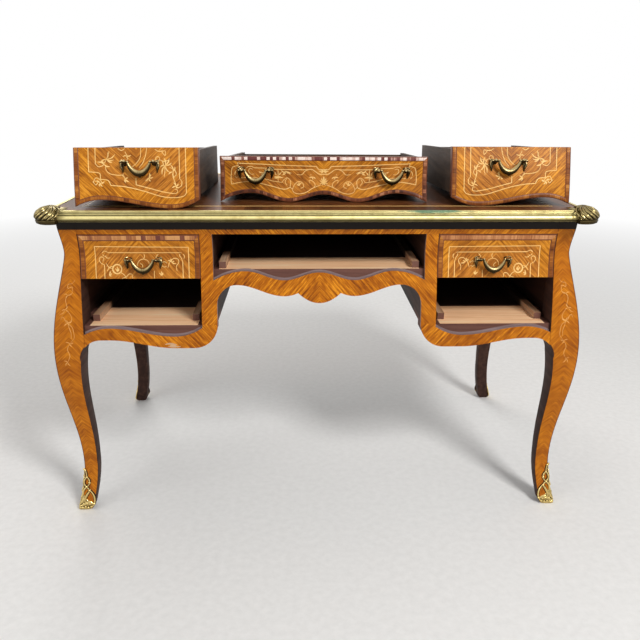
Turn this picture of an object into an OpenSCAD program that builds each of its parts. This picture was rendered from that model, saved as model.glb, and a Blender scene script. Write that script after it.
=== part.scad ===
// Bureau plat: a writing desk on cabriole legs, with five bombe drawers.
// Lengths are millimetres and angles are degrees.
// X runs along the front, Y runs from front to back, Z is up.
// The origin is on the floor under the middle of the desk.
// Two upper drawers are in their slots. The other three stand on the desktop.

/* [Desk] */
// Width of the carcass at its waist, outside the side panels
carcass_width = 1173; // [1120:1:1260]
// Depth of the carcass at its waist, front face to back face
carcass_depth = 609; // [590:1:680]
// Height of the desktop above the floor
desk_height = 774; // [750:1:820]
// Depth of the board, from a front or back panel's face to its flat inner side
panel_thickness = 22; // [18:1:28]

/* [Desktop] */
// How far the desktop stands out past the front and the back
front_overhang = 40.5; // [34:0.5:46]
// How far the desktop stands out past each side
side_overhang = 23.5; // [18:0.5:30]
// Height of the brass edge, which is the desktop's thickness
edge_height = 25; // [22:0.5:30]
// Thickness of the brass edge, from its back to its farthest bulge
edge_depth = 12; // [10:0.5:15]
// How far the brass edge stands above the veneer
edge_proud = 0.8; // [0.4:0.1:1.5]
// Length of each corner mount along the edge
corner_length = 32; // [28:1:40]
// How far a corner mount stands out past the brass edge
corner_proud = 22; // [16:1:26]
// How far a corner mount rises above the brass edge
corner_rise = 11; // [8:0.5:14]
// How far a corner mount hangs below the brass edge
corner_lip = 3; // [2:0.5:5]

/* [Legs] */
// Width of a leg where it forms the corner post, at the waist
post_width = 35.5; // [32:0.5:44]
// Drop from the desktop's underside to the waist, the slimmest line of the carcass
waist_drop = 80; // [60:1:95]
// Drop from the desktop's underside to the knee, the widest line of the leg
knee_drop = 325; // [310:1:350]
// Height of the ankle above the floor
ankle_height = 135; // [110:1:160]
// How far the top of the frieze stands out past the waist
frieze_flare = 8; // [4:0.5:10]
// How far the knee stands out past the waist
knee_swell = 38; // [30:1:44]
// How early the knee swells below the waist: 1 for an even wave, less for a fuller one
knee_onset = 0.6; // [0.5:0.05:1]
// How far the ankle stands out past the waist
ankle_swell = 10; // [4:1:14]
// How far the toe stands out past the waist
toe_swell = 29; // [22:1:34]
// Thickness of the leg at the knee
knee_width = 61; // [56:1:68]
// Thickness of the leg at the ankle
ankle_width = 34; // [30:1:40]
// Thickness of the brass sabot
sabot_thickness = 3; // [2:0.5:4]
// Height of the sabot's leaf tip above the floor
sabot_height = 112; // [90:1:130]

/* [Slots] */
// Height of the rail over the drawer slots
rail_height = 34; // [28:1:40]
// Height of the centre slot, from the rail to its dustboard
centre_slot_height = 84; // [78:1:92]
// Height of each side slot, from the rail to its dustboard
side_slot_height = 213; // [205:1:220]
// Width of the centre slot
centre_slot_width = 493; // [460:1:520]
// Width of the stile between the centre slot and a side slot
stile_width = 28.5; // [24:0.5:34]
// Thickness of the apron facings in front of the dustboards
facing_thickness = 10; // [8:0.5:12]
// Thickness of a dustboard behind its front rail
board_thickness = 12; // [9:1:15]
// Depth of a dustboard's thick front rail
rail_depth = 45; // [35:1:60]
// Height of a side dustboard's front rail
side_rail_height = 27; // [25:0.5:28]
// Height of the centre dustboard's front rail
centre_rail_height = 30; // [28:0.5:31]

/* [Aprons] */
// Radius of the arch where an apron meets a leg
arch_radius = 50; // [44:1:54]
// Height of the band of apron under a side drawer
side_band = 28.5; // [28:0.5:34]
// Distance from a leg to the crest of the side apron
side_crest_in = 58; // [52:1:70]
// Distance from a stile to the dip of the side apron
side_dip_in = 63; // [50:1:80]
// Drop from the side dustboard to the apron's crest
side_crest_drop = 4; // [3:0.5:6]
// Drop from the side dustboard to the apron's dip
side_dip_drop = 24; // [20:0.5:26]
// Drop from the side dustboard to the apron's corner at the leg
side_corner_drop = 19; // [15:0.5:24]
// How far the kneehole's side stands inside the centre slot's side
kneehole_reveal = 7.5; // [5:0.5:12]
// Radius of the kneehole's lower corner, under the stile
low_corner_radius = 56; // [46:1:60]
// Radius of the kneehole's upper corner
high_corner_radius = 46; // [40:1:52]
// Drop from the centre dustboard to the top of the kneehole
crown_drop = 34; // [33:0.5:40]
// Distance from the centre slot's side to the apron's crest
centre_crest_in = 74; // [66:1:80]
// Distance from the middle of the desk to the centre apron's dip
centre_dip_out = 82; // [76:1:88]
// Drop from the centre dustboard to the apron's crest
centre_crest_drop = 2.5; // [2:0.5:5]
// Drop from the centre dustboard to the apron's dip and its corners
centre_dip_drop = 23.5; // [20:0.5:26]
// Drop from the centre dustboard to the apron's middle crest
centre_middle_drop = 5.5; // [4:0.5:9]
// Drop from the centre dustboard to the lower edge's dip
lower_dip_drop = 60; // [54:1:66]
// Drop from the centre dustboard to the two cusps beside the pendant
cusp_drop = 53; // [48:1:58]
// Drop from the centre dustboard to the tip of the pendant
pendant_drop = 76; // [70:1:90]
// Half the width of the pendant
pendant_half_width = 50; // [44:1:56]

/* [Drawers] */
// Gap around each drawer front
drawer_gap = 1; // [0.5:0.25:2]
// Height of an upper side drawer's front
upper_front_height = 101.5; // [92:0.5:108]
// Thickness of a drawer front
front_thickness = 20; // [17:1:24]
// Thickness of a drawer's sides and back
side_thickness = 10; // [8:0.5:12]
// Thickness of a drawer's bottom
bottom_thickness = 6; // [4:0.5:8]
// Depth of the groove that holds the bottom in each side
groove_depth = 4; // [2:0.5:5]
// Depth of a side drawer, from its face at the waist
side_drawer_depth = 450; // [380:1:480]
// Depth of the centre drawer, from its face at the waist
centre_drawer_depth = 465; // [380:1:490]
// How far a drawer's sides stop below the top of its front
side_step = 5; // [3:0.5:10]
// Gap from a dustboard up to a drawer's sides
side_lift = 6; // [4:0.5:8]
// Width and height of a guide strip on a dustboard
guide_size = 16; // [12:1:20]
// Gap from a slot's side to its guide strip, which takes the drawer's side
guide_in = 12; // [10.5:0.5:15]
// Running gap between a drawer and what carries or guides it
running_gap = 0.3; // [0.2:0.05:0.5]
// Thickness of the runners under the upper drawers
runner_thickness = 7; // [5:0.5:9]
// How far an upper drawer's sides stand above the bottom of its front
upper_side_lift = 8; // [7.5:0.25:10]
// Width of a runner under the drawer's side
runner_width = 12; // [11:0.5:18]

/* [Drawers on the desktop] */
// Middle of the left drawer's front, from the middle of the desk
left_drawer_x = -406; // [-420:1:-398]
// How far the left drawer's foot stands behind the carcass's front at the waist
left_drawer_y = -3; // [-8:1:60]
// Turn of the left drawer, seen from above
left_drawer_turn = 1.7; // [-3:0.1:3]
// Middle of the right drawer's front, from the middle of the desk
right_drawer_x = 443; // [415:1:446]
// How far the right drawer's foot stands behind the carcass's front at the waist
right_drawer_y = 36; // [0:1:70]
// Turn of the right drawer, seen from above
right_drawer_turn = -1.6; // [-3:0.1:3]
// Middle of the centre drawer's front, from the middle of the desk
centre_drawer_x = 12; // [0:1:16]
// How far the centre drawer's foot stands behind the carcass's front at the waist
centre_drawer_y = 93; // [40:1:110]
// Turn of the centre drawer, seen from above
centre_drawer_turn = -1.6; // [-2.5:0.1:2.5]
// Gap under a drawer that stands on the desktop
resting_gap = 0.2; // [0.1:0.05:0.5]

/* [Pulls] */
// Distance between the two posts of a pull
post_spacing = 64; // [56:1:72]
// Distance from the drawer's face to the bail's hinge line
hinge_out = 18; // [17:0.5:22]
// Drop from the front's top to the hinge line of an upper drawer
upper_pull_drop = 59; // [50:1:62]
// Drop from the front's top to the hinge line of a lower side drawer
lower_pull_drop = 34; // [30:1:44]
// Drop from the front's top to the hinge line of the centre drawer's pulls
centre_pull_drop = 31; // [28:1:40]
// How far a side drawer's pull stands off the front's middle, towards the kneehole
pull_offset = 8; // [0:1:15]
// Distance from the centre drawer's middle to each of its pulls
centre_pull_out = 161; // [130:1:175]
// Radius of the rosette at the foot of a post
rosette_radius = 9; // [7:0.5:11]
// Thickness of the rosette
rosette_thickness = 3; // [2:0.5:4]
// Radius of the post's neck
neck_radius = 3.2; // [2.5:0.1:4]
// Radius of the post's head
head_radius = 4.6; // [4:0.1:6]
// Radius of the pin at each end of the bail
pin_radius = 1.8; // [1.4:0.1:2]
// Gap around the pin in the post's head
pin_gap = 0.05; // [0.02:0.01:0.1]
// Drop from the hinge line to the middle of the bail
bail_drop = 26; // [22:0.5:30]
// Radius of the bail at its ends
bail_end_radius = 2.4; // [2.1:0.1:3]
// Radius of the bail at its middle
bail_middle_radius = 6; // [4:0.1:6.4]
// Radius of the bead round the middle of the bail
bead_radius = 6.8; // [6.6:0.1:7.2]
// Radius of the threaded shank that goes through the drawer front
shank_radius = 2; // [1.5:0.1:2.5]
// Thickness of the nut on the shank
nut_thickness = 3; // [2:0.5:4]

/* [Hidden] */
$fn = 48;

half_width = carcass_width / 2;
half_depth = carcass_depth / 2;
front = -half_depth;
inner_half_depth = half_depth - panel_thickness;
inner_half_width = half_width - panel_thickness;

// Levels, counted down from the desktop
frieze_top = desk_height - edge_height;
waist_height = frieze_top - waist_drop;
knee_height = frieze_top - knee_drop;
slot_top = frieze_top - rail_height;
centre_board_top = slot_top - centre_slot_height;
side_board_top = slot_top - side_slot_height;
front_top = slot_top - drawer_gap;
upper_front_bottom = front_top - upper_front_height;
lower_front_top = upper_front_bottom - drawer_gap;

// Upright lines, counted out from the middle
slot_half = centre_slot_width / 2;
slot_in = slot_half + stile_width;
slot_out = half_width - post_width;
kneehole_half = slot_half - kneehole_reveal;

// The bombe swelling of every outer face, as a smooth function of height
function ease(t) = (1 - cos(180 * t)) / 2;
function between(low, high, value) = (value - low) / (high - low);
function smooth_swell(z) =
    z >= waist_height ? frieze_flare * ease(between(waist_height, frieze_top, z)) :
    z >= knee_height ? knee_swell
        * pow(ease(between(waist_height, knee_height, z)), knee_onset) :
    z >= ankle_height ? ankle_swell
        + (knee_swell - ankle_swell) * ease(between(ankle_height, knee_height, z)) :
    ankle_swell + (toe_swell - ankle_swell) * (1 - cos(90 * between(ankle_height, 0, z)));
function face_slope(z) = atan((smooth_swell(z + 1) - smooth_swell(z - 1)) / 2);

// The same swelling in flat strips, which every piece shares so that the pieces meet
strip_height = 14;
strip_count = ceil(frieze_top / strip_height);
strip_edges = [for (i = [0:strip_count]) frieze_top * i / strip_count];
swell_table = [for (z = strip_edges) [z, smooth_swell(z)]];
function swell(z) = lookup(z, swell_table);
function strip_levels(low, high) = concat(
    [low],
    [for (z = strip_edges) if (z > low + 0.001 && z < high - 0.001) z],
    [high]
);

// Lists of levels and stretches of outlines, each point being [along, height]
curve_steps = 12;
function steps(low, high, count) = [for (i = [0:count]) low + (high - low) * i / count];
function reversed(list) = [for (i = [len(list) - 1:-1:0]) list[i]];
function mirrored(points) = [for (point = reversed(points)) [-point[0], point[1]]];
function wave(a, b) = [for (t = steps(0, 1, curve_steps))
    [a[0] + (b[0] - a[0]) * t, a[1] + (b[1] - a[1]) * ease(t)]];
function level_off(a, b) = [for (t = steps(0, 1, curve_steps))
    [a[0] + (b[0] - a[0]) * t, b[1] + (a[1] - b[1]) * (1 - t) * (1 - t)]];
function steepen(a, b) = reversed(level_off(b, a));
function arc(centre, radius, from, to) = [for (angle = steps(from, to, curve_steps))
    [centre[0] + radius * cos(angle), centre[1] + radius * sin(angle)]];

// The arch where an apron meets a leg, measured out from the waist's face
side_crest_level = side_board_top - side_crest_drop;
side_dip_level = side_board_top - side_dip_drop;
side_corner_level = side_board_top - side_corner_drop;
arch_top = side_crest_level - side_band;
arch_spring = arch_top - arch_radius;
arch_out = swell(arch_spring) - knee_width - arch_radius;
arch_end_angle = acos((-post_width - arch_out) / arch_radius);

// The leg's thickness, from the ankle up to the arch
leg_taper = 1.45;
function leg_width(z) = z <= ankle_height ? ankle_width :
    ankle_width + (knee_width - ankle_width) * pow(between(ankle_height, arch_spring, z), leg_taper);

// The lower outline of the front and the back, from a leg to the middle
side_crest_x = slot_out - side_crest_in;
side_dip_x = slot_in + side_dip_in;
low_corner = [kneehole_half + low_corner_radius, side_dip_level - side_band + low_corner_radius];
crown_level = centre_board_top - crown_drop;
high_corner = [kneehole_half - high_corner_radius, crown_level - high_corner_radius];
lower_dip = [centre_dip_out, centre_board_top - lower_dip_drop];
cusp = [pendant_half_width, centre_board_top - cusp_drop];
lower_outline = concat(
    arc([half_width + arch_out, arch_spring], arch_radius, arch_end_angle, 90),
    wave([side_crest_x, arch_top], [side_dip_x, side_dip_level - side_band]),
    arc(low_corner, low_corner_radius, 270, 180),
    arc(high_corner, high_corner_radius, 0, 90),
    wave([high_corner[0], crown_level], lower_dip),
    steepen(lower_dip, cusp),
    level_off(cusp, [0, centre_board_top - pendant_drop])
);

// The upper edges of the aprons, which the drawer fronts follow
side_upper_edge = concat(
    level_off([slot_out, side_corner_level], [side_crest_x, side_crest_level]),
    wave([side_crest_x, side_crest_level], [side_dip_x, side_dip_level]),
    steepen([side_dip_x, side_dip_level], [slot_in, side_crest_level])
);
centre_crest = [slot_half - centre_crest_in, centre_board_top - centre_crest_drop];
centre_dip = [centre_dip_out, centre_board_top - centre_dip_drop];
centre_half_edge = concat(
    level_off([slot_half, centre_dip[1]], centre_crest),
    wave(centre_crest, centre_dip),
    wave(centre_dip, [0, centre_board_top - centre_middle_drop])
);
centre_upper_edge = concat(centre_half_edge, mirrored(centre_half_edge));

// Colours
veneer = [0.62, 0.33, 0.12];
drawer_wood = [0.45, 0.33, 0.24];
pale_wood = [0.80, 0.66, 0.50];
brass = [0.68, 0.58, 0.30];
gilt = [0.83, 0.70, 0.32];

// A solid between two places along X, whose outline is [y, z]
module across(low_x, high_x) {
    translate([low_x, 0, 0])
        rotate([90, 0, 90])
            linear_extrude(height = high_x - low_x)
                children();
}

// A solid between two places along Y, whose outline is [x, z]
module along(low_y, high_y) {
    translate([0, high_y, 0])
        rotate([90, 0, 0])
            linear_extrude(height = high_y - low_y)
                children();
}

// A box given by its two corners
module box(low, high) {
    translate(low) cube(high - low);
}

module both_sides() {
    children();
    mirror([1, 0, 0]) children();
}

module four_corners() {
    both_sides() {
        children();
        mirror([0, 1, 0]) children();
    }
}

// Places a piece of the right side panel, drawn as a piece of the front
module to_right_side() {
    translate([half_width - half_depth, 0, 0])
        rotate([0, 0, 90])
            children();
}

// Sections of the front, drawn as [y, z]
function face_line(low, high, depth) = [for (z = strip_levels(low, high))
    [front - swell(z) + depth, z]];

module band_section(low, high, thickness) {
    polygon(concat(face_line(low, high, 0), reversed(face_line(low, high, thickness))));
}

// A bombe panel whose back is flat above a step, and follows the face below it
module panel_section(low, step, high) {
    back = front + panel_thickness;
    polygon(concat(
        face_line(low, high, 0),
        [[back, high], [back, step]],
        low < step ? reversed(face_line(low, step, panel_thickness)) : []
    ));
}

// The outline [x, z] of the whole front, and of the drawer slots in it
module front_outline() {
    polygon(concat(lower_outline, mirrored(lower_outline),
        [[-slot_out, frieze_top], [slot_out, frieze_top]]));
}

module side_slot_outline() {
    polygon(concat(side_upper_edge, [[slot_in, slot_top], [slot_out, slot_top]]));
}

module centre_slot_outline() {
    polygon(concat(centre_upper_edge, [[-slot_half, slot_top], [slot_half, slot_top]]));
}

module facing_outline() {
    difference() {
        front_outline();
        centre_slot_outline();
        side_slot_outline();
        mirror([1, 0]) side_slot_outline();
    }
}

// How far an outline's prism reaches before and behind the front
prism_reach = 120;
module front_prism() {
    along(front - prism_reach, front + prism_reach) children();
}

// Desktop

desktop_half_width = half_width + side_overhang;
desktop_half_depth = half_depth + front_overhang;
desk_surface = desk_height - edge_proud;
front_edge_half = desktop_half_width - corner_length;
side_edge_half = desktop_half_depth - corner_length;

module desktop_panel() {
    x = desktop_half_width - edge_depth;
    y = desktop_half_depth - edge_depth;
    color(veneer)
        union() {
            box([-x, -side_edge_half, frieze_top], [x, side_edge_half, desk_surface]);
            box([-front_edge_half, -y, frieze_top], [front_edge_half, y, desk_surface]);
        }
}

// The section of the brass edge, [out, up]: a large round face under three reeds
reed_radius = 1.6;
reed_count = 3;
module edge_section() {
    roll = (edge_height - reed_count * 2 * reed_radius) / 2;
    roll_in = edge_depth - roll;
    lip = edge_depth - roll / 2;
    intersection() {
        square([edge_depth, edge_height]);
        union() {
            square([lip - reed_radius, edge_height]);
            translate([roll_in, roll]) circle(r = roll);
            for (i = [0:reed_count - 1])
                translate([lip - reed_radius, 2 * roll + reed_radius * (2 * i + 1)])
                    circle(r = reed_radius * 1.05);
        }
    }
}

// A length of brass edge along X, at a distance in front of the middle
module edge_length(half_length, distance) {
    color(brass)
        across(-half_length, half_length)
            translate([edge_depth - distance, frieze_top])
                mirror([1, 0])
                    edge_section();
}

module edge_front() {
    edge_length(front_edge_half, desktop_half_depth);
}

module edge_right() {
    rotate([0, 0, 90])
        edge_length(side_edge_half, desktop_half_width);
}

// A cast mount on the rear right corner: a shell with three leaves on the desktop
shell_radius = corner_length / 2 + corner_proud;
shell_bevel = 7;
leaf_length = 34;
leaf_root = 5;
leaf_thickness = 3.5;
leaf_tip = 1.6;
leaf_spread = 36;
module shell_section() {
    low = -corner_lip;
    high = edge_height + corner_rise;
    polygon([
        [0, low], [shell_radius - shell_bevel, low],
        [shell_radius, low + shell_bevel], [shell_radius, high - 2 * shell_bevel],
        [shell_radius - shell_bevel, high - shell_bevel / 3],
        [shell_radius - 2 * shell_bevel, high], [0, high]
    ]);
}

module corner_mount() {
    half_length = corner_length / 2;
    reach = 2 * shell_radius;
    leaf_level = edge_height - edge_proud;
    translate([desktop_half_width - half_length, desktop_half_depth - half_length, frieze_top])
        union() {
            intersection() {
                rotate_extrude() shell_section();
                box([-half_length, -half_length, -reach], [reach, reach, reach]);
            }
            for (turn = [-leaf_spread, 0, leaf_spread])
                rotate([0, 0, 225 + turn])
                    translate([0, 0, leaf_level])
                        linear_extrude(height = leaf_thickness)
                            polygon([[0, -leaf_root], [leaf_length, -leaf_tip],
                                [leaf_length, leaf_tip], [0, leaf_root]]);
        }
}

module corner_mounts() {
    color(brass) four_corners() corner_mount();
}

// Legs and sabots, drawn at the rear right corner

leg_levels = strip_levels(0, frieze_top);
foot_levels = strip_levels(0, sabot_height + strip_height);
leg_reach = post_width + knee_swell;

// The leg's outline, [out from the waist's face, z]
module leg_outline() {
    polygon(concat(
        [for (z = leg_levels) [swell(z), z]],
        [[-post_width, frieze_top]],
        arc([arch_out, arch_spring], arch_radius, arch_end_angle, 0),
        [for (z = reversed(leg_levels)) if (z < arch_spring) [swell(z) - leg_width(z), z]]
    ));
}

module foot_outline() {
    polygon(concat(
        [for (z = foot_levels) [swell(z), z]],
        [for (z = reversed(foot_levels)) [swell(z) - leg_width(z), z]]
    ));
}

// The solid whose outline is the same seen from the front and from the side
module square_turned() {
    intersection() {
        along(half_depth - leg_reach, half_depth + leg_reach)
            translate([half_width, 0]) children();
        across(half_width - leg_reach, half_width + leg_reach)
            translate([half_depth, 0]) children();
    }
}

module leg() {
    color(veneer) square_turned() leg_outline();
}

// How far the sabot's leaf reaches from the foot's corner: [share of its height, reach]
sabot_leaf = [[0, 25], [0.32, 26], [0.5, 11], [0.7, 15], [1, 2]];
sole_gap = 1;
function leaf_reach(share) = lookup(share, sabot_leaf);
sabot_levels = concat([sole_gap], [for (z = foot_levels) if (z > sole_gap + 1 && z < sabot_height - 1) z],
    [sabot_height]);

module sabot_outline() {
    polygon(concat(
        [for (z = sabot_levels) [swell(z) + sabot_thickness, z]],
        [for (z = reversed(sabot_levels)) [swell(z) - leaf_reach(z / sabot_height), z]]
    ));
}

module sabots() {
    color(gilt)
        four_corners()
            difference() {
                square_turned() sabot_outline();
                square_turned() foot_outline();
            }
}

// Front of the carcass

module frieze_rail() {
    color(veneer)
        across(-slot_out, slot_out)
            panel_section(slot_top, slot_top, frieze_top);
}

module stile_right() {
    color(veneer)
        union() {
            across(slot_half, slot_in)
                panel_section(side_board_top, side_board_top, slot_top);
            intersection() {
                across(high_corner[0], slot_half)
                    band_section(side_board_top, centre_board_top, facing_thickness);
                front_prism() facing_outline();
            }
        }
}

// A part of the front's thin facing, between two places and two levels
module facing(low_x, high_x, low, high) {
    color(veneer)
        intersection() {
            across(low_x, high_x) band_section(low, high, facing_thickness);
            front_prism() facing_outline();
        }
}

module apron_right() {
    facing(kneehole_half, slot_out, arch_spring, side_board_top);
}

module apron_centre() {
    facing(-high_corner[0], high_corner[0], side_board_top, centre_board_top);
}

// Sides and back of the carcass

board_underside = side_board_top - board_thickness;

module back_panel() {
    color(veneer)
        mirror([0, 1, 0])
            intersection() {
                across(-slot_out, slot_out)
                    panel_section(arch_spring, board_underside, frieze_top);
                front_prism() front_outline();
            }
}

// The side panel's outline, with a dip between its two arches
side_panel_half = half_depth - post_width;
module side_outline() {
    half_outline = concat(
        arc([half_depth + arch_out, arch_spring], arch_radius, arch_end_angle, 90),
        wave([side_panel_half - side_crest_in, arch_top], [0, side_dip_level - side_band])
    );
    polygon(concat(half_outline, mirrored(half_outline),
        [[-side_panel_half, frieze_top], [side_panel_half, frieze_top]]));
}

module side_panel_right() {
    color(veneer)
        to_right_side()
            intersection() {
                across(-side_panel_half, side_panel_half)
                    panel_section(arch_spring, board_underside, frieze_top);
                front_prism() side_outline();
            }
}

// Inside of the carcass

module partition_right() {
    color(pale_wood)
        box([slot_half, -inner_half_depth, side_board_top],
            [slot_in, inner_half_depth, frieze_top]);
}

// A dustboard's front rail, fitted behind the facing
module board_rail(low_x, high_x, top, height) {
    intersection() {
        across(low_x, high_x)
            polygon(concat(
                face_line(top - height, top, facing_thickness),
                [[front + rail_depth, top], [front + rail_depth, top - height]]
            ));
        front_prism() front_outline();
    }
}

module dustboard_right() {
    color(pale_wood)
        union() {
            board_rail(slot_half, slot_out, side_board_top, side_rail_height);
            box([slot_half, front + panel_thickness, board_underside],
                [slot_out, inner_half_depth, side_board_top]);
            box([slot_half, -side_panel_half, board_underside],
                [inner_half_width, side_panel_half, side_board_top]);
        }
}

module dustboard_centre() {
    color(pale_wood)
        union() {
            board_rail(-slot_half, slot_half, centre_board_top, centre_rail_height);
            box([-slot_half, front + panel_thickness, centre_board_top - board_thickness],
                [slot_half, inner_half_depth, centre_board_top]);
        }
}

// A guide strip on a dustboard, which runs inside a drawer's side
module guide_strip(low_x, board_top) {
    box([low_x, front + facing_thickness, board_top],
        [low_x + guide_size, inner_half_depth, board_top + guide_size]);
}

module guide_strips() {
    color(pale_wood)
        both_sides() {
            guide_strip(slot_in + guide_in, side_board_top);
            guide_strip(slot_out - guide_in - guide_size, side_board_top);
            guide_strip(slot_half - guide_in - guide_size, centre_board_top);
        }
}

// The runners under an upper drawer's sides, the outer one with a guide beside the drawer
upper_side_bottom = upper_front_bottom + upper_side_lift;
runner_top = upper_side_bottom - running_gap;
module upper_runners() {
    low = runner_top - runner_thickness;
    color(pale_wood)
        both_sides() {
            box([slot_in, -side_panel_half, low],
                [slot_in + runner_width, side_panel_half, runner_top]);
            union() {
                box([slot_out - runner_width, -side_panel_half, low],
                    [inner_half_width, side_panel_half, runner_top]);
                box([slot_out, -side_panel_half, low],
                    [inner_half_width, side_panel_half, runner_top + guide_size]);
            }
        }
}

// The blocks glued under the desktop, behind the corner posts
block_size = 42;
block_clearance = 4;
module corner_blocks() {
    color(pale_wood)
        four_corners()
            translate([inner_half_width, side_panel_half, slot_top + block_clearance])
                linear_extrude(height = frieze_top - slot_top - block_clearance)
                    polygon([[0, 0], [-block_size, 0], [0, -block_size]]);
}

// Drawers

// A drawer is [low x, high x, level where its front gets thicker, top level,
// lower level of its sides, lower level of its bottom, depth]
upper_drawer = [slot_in + drawer_gap, slot_out - drawer_gap,
    upper_front_bottom, front_top,
    upper_side_bottom, upper_side_bottom + side_lift, side_drawer_depth];
lower_drawer = [slot_in + drawer_gap, slot_out - drawer_gap,
    side_board_top + drawer_gap, lower_front_top,
    side_board_top + side_lift, side_board_top + guide_size + running_gap, side_drawer_depth];
centre_drawer = [-slot_half + drawer_gap, slot_half - drawer_gap,
    centre_board_top + drawer_gap, front_top,
    centre_board_top + side_lift, centre_board_top + guide_size + running_gap,
    centre_drawer_depth];

function low_x(drawer) = drawer[0];
function high_x(drawer) = drawer[1];
function middle_x(drawer) = (drawer[0] + drawer[1]) / 2;
function step_level(drawer) = drawer[2];
function top_level(drawer) = drawer[3];
function side_low(drawer) = drawer[4];
function side_high(drawer) = drawer[3] - side_step;
function bottom_low(drawer) = drawer[5];
function back_y(drawer) = front + drawer[6];

// The space in front of a drawer front's inner face
module front_space(drawer) {
    far = front - prism_reach;
    across(low_x(drawer) - 1, high_x(drawer) + 1)
        polygon(concat(
            [[far, step_level(drawer)]],
            face_line(step_level(drawer), top_level(drawer), front_thickness),
            [[far, top_level(drawer)]]
        ));
}

// A drawer's bombe front: thin in front of the dustboard's rail, and thicker above it
module bombe_front(drawer, lowest) {
    step = step_level(drawer);
    rebate = facing_thickness - running_gap;
    across(low_x(drawer), high_x(drawer))
        polygon(concat(
            face_line(lowest, top_level(drawer), 0),
            reversed(face_line(step, top_level(drawer), front_thickness)),
            lowest < step ? reversed(face_line(lowest, step, rebate)) : []
        ));
}

module upper_front() {
    color(veneer)
        difference() {
            bombe_front(upper_drawer, upper_front_bottom);
            shank_holes(upper_pulls);
        }
}

// A front whose lower edge follows the apron's upper edge, above a gap
module shaped_front(drawer, edge, lowest, pulls) {
    color(veneer)
        difference() {
            intersection() {
                bombe_front(drawer, lowest);
                front_prism()
                    translate([0, drawer_gap])
                        polygon(concat(edge, [
                            [low_x(drawer) - drawer_gap, top_level(drawer)],
                            [high_x(drawer) + drawer_gap, top_level(drawer)]
                        ]));
            }
            shank_holes(pulls);
        }
}

module lower_front() {
    shaped_front(lower_drawer, side_upper_edge, side_lowest, lower_pulls);
}

module centre_front() {
    shaped_front(centre_drawer, centre_upper_edge, centre_lowest, centre_pulls);
}

module bottom_board(drawer) {
    inset = side_thickness - groove_depth;
    box([low_x(drawer) + inset, front - knee_swell, bottom_low(drawer)],
        [high_x(drawer) - inset, back_y(drawer), bottom_low(drawer) + bottom_thickness]);
}

module drawer_sides(drawer) {
    color(drawer_wood)
        for (x = [low_x(drawer), high_x(drawer) - side_thickness])
            difference() {
                box([x, front - knee_swell, side_low(drawer)],
                    [x + side_thickness, back_y(drawer), side_high(drawer)]);
                front_space(drawer);
                bottom_board(drawer);
            }
}

module drawer_back(drawer) {
    color(drawer_wood)
        box([low_x(drawer) + side_thickness, back_y(drawer) - side_thickness,
                bottom_low(drawer) + bottom_thickness],
            [high_x(drawer) - side_thickness, back_y(drawer), side_high(drawer) - side_step]);
}

// The bottom, let into grooves in the sides
module drawer_bottom(drawer) {
    color(pale_wood)
        difference() {
            bottom_board(drawer);
            front_space(drawer);
        }
}

// A drawer on the desktop leans back, on the foot of its front and the back of its sides
side_lowest = side_dip_level + drawer_gap;
centre_lowest = centre_dip[1] + drawer_gap;
function foot_depth(lowest) = facing_thickness - running_gap - swell(lowest);
function lean(drawer, lowest) = atan((side_low(drawer) - lowest)
    / (back_y(drawer) - front - foot_depth(lowest)));
side_lean = lean(lower_drawer, side_lowest);
centre_lean = lean(centre_drawer, centre_lowest);

module on_desktop(place_x, place_y, turn, lean_angle, from_x, lowest) {
    translate([place_x, front + place_y, desk_surface + resting_gap])
        rotate([0, 0, turn])
            rotate([-lean_angle, 0, 0])
                translate([-from_x, -front - foot_depth(lowest), -lowest])
                    children();
}

module left_on_desktop() {
    on_desktop(left_drawer_x, left_drawer_y, left_drawer_turn, side_lean,
            -middle_x(lower_drawer), side_lowest)
        mirror([1, 0, 0])
            children();
}

module right_on_desktop() {
    on_desktop(right_drawer_x, right_drawer_y, right_drawer_turn, side_lean,
            middle_x(lower_drawer), side_lowest)
        children();
}

module centre_on_desktop() {
    on_desktop(centre_drawer_x, centre_drawer_y, centre_drawer_turn, centre_lean,
            middle_x(centre_drawer), centre_lowest)
        children();
}

// Pulls

// A pull is [middle x, level of its hinge line]
upper_pull = [middle_x(upper_drawer) - pull_offset, front_top - upper_pull_drop];
lower_pull = [middle_x(lower_drawer) - pull_offset, lower_front_top - lower_pull_drop];
centre_right_pull = [centre_pull_out, front_top - centre_pull_drop];
centre_left_pull = [-centre_pull_out, front_top - centre_pull_drop];
upper_pulls = [upper_pull];
lower_pulls = [lower_pull];
centre_pulls = [centre_left_pull, centre_right_pull];

seat_gap = 0.15;
thread_gap = 0.02;
shank_end = 2;
seat_rim = 0.4;

// Draws on a drawer's face at a pull, with -Y pointing straight out of the face
module at_pull(pull) {
    translate([pull[0], front - swell(pull[1]), pull[1]])
        rotate([face_slope(pull[1]), 0, 0])
            children();
}

module at_each_post() {
    for (side = [-1, 1])
        translate([side * post_spacing / 2, 0, 0])
            children();
}

// A round bar from one depth to another, towards +Y
module inward_bar(radius, low, high) {
    translate([0, high, 0])
        rotate([90, 0, 0])
            cylinder(r = radius, h = high - low);
}

// The holes for the shanks, with a flat seat round each for the rosette
module shank_holes(pulls) {
    for (pull = pulls)
        at_pull(pull)
            at_each_post() {
                inward_bar(shank_radius + seat_gap, -hinge_out / 2, 2 * front_thickness);
                inward_bar(rosette_radius + seat_rim, -hinge_out / 2, 0);
            }
}

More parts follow.
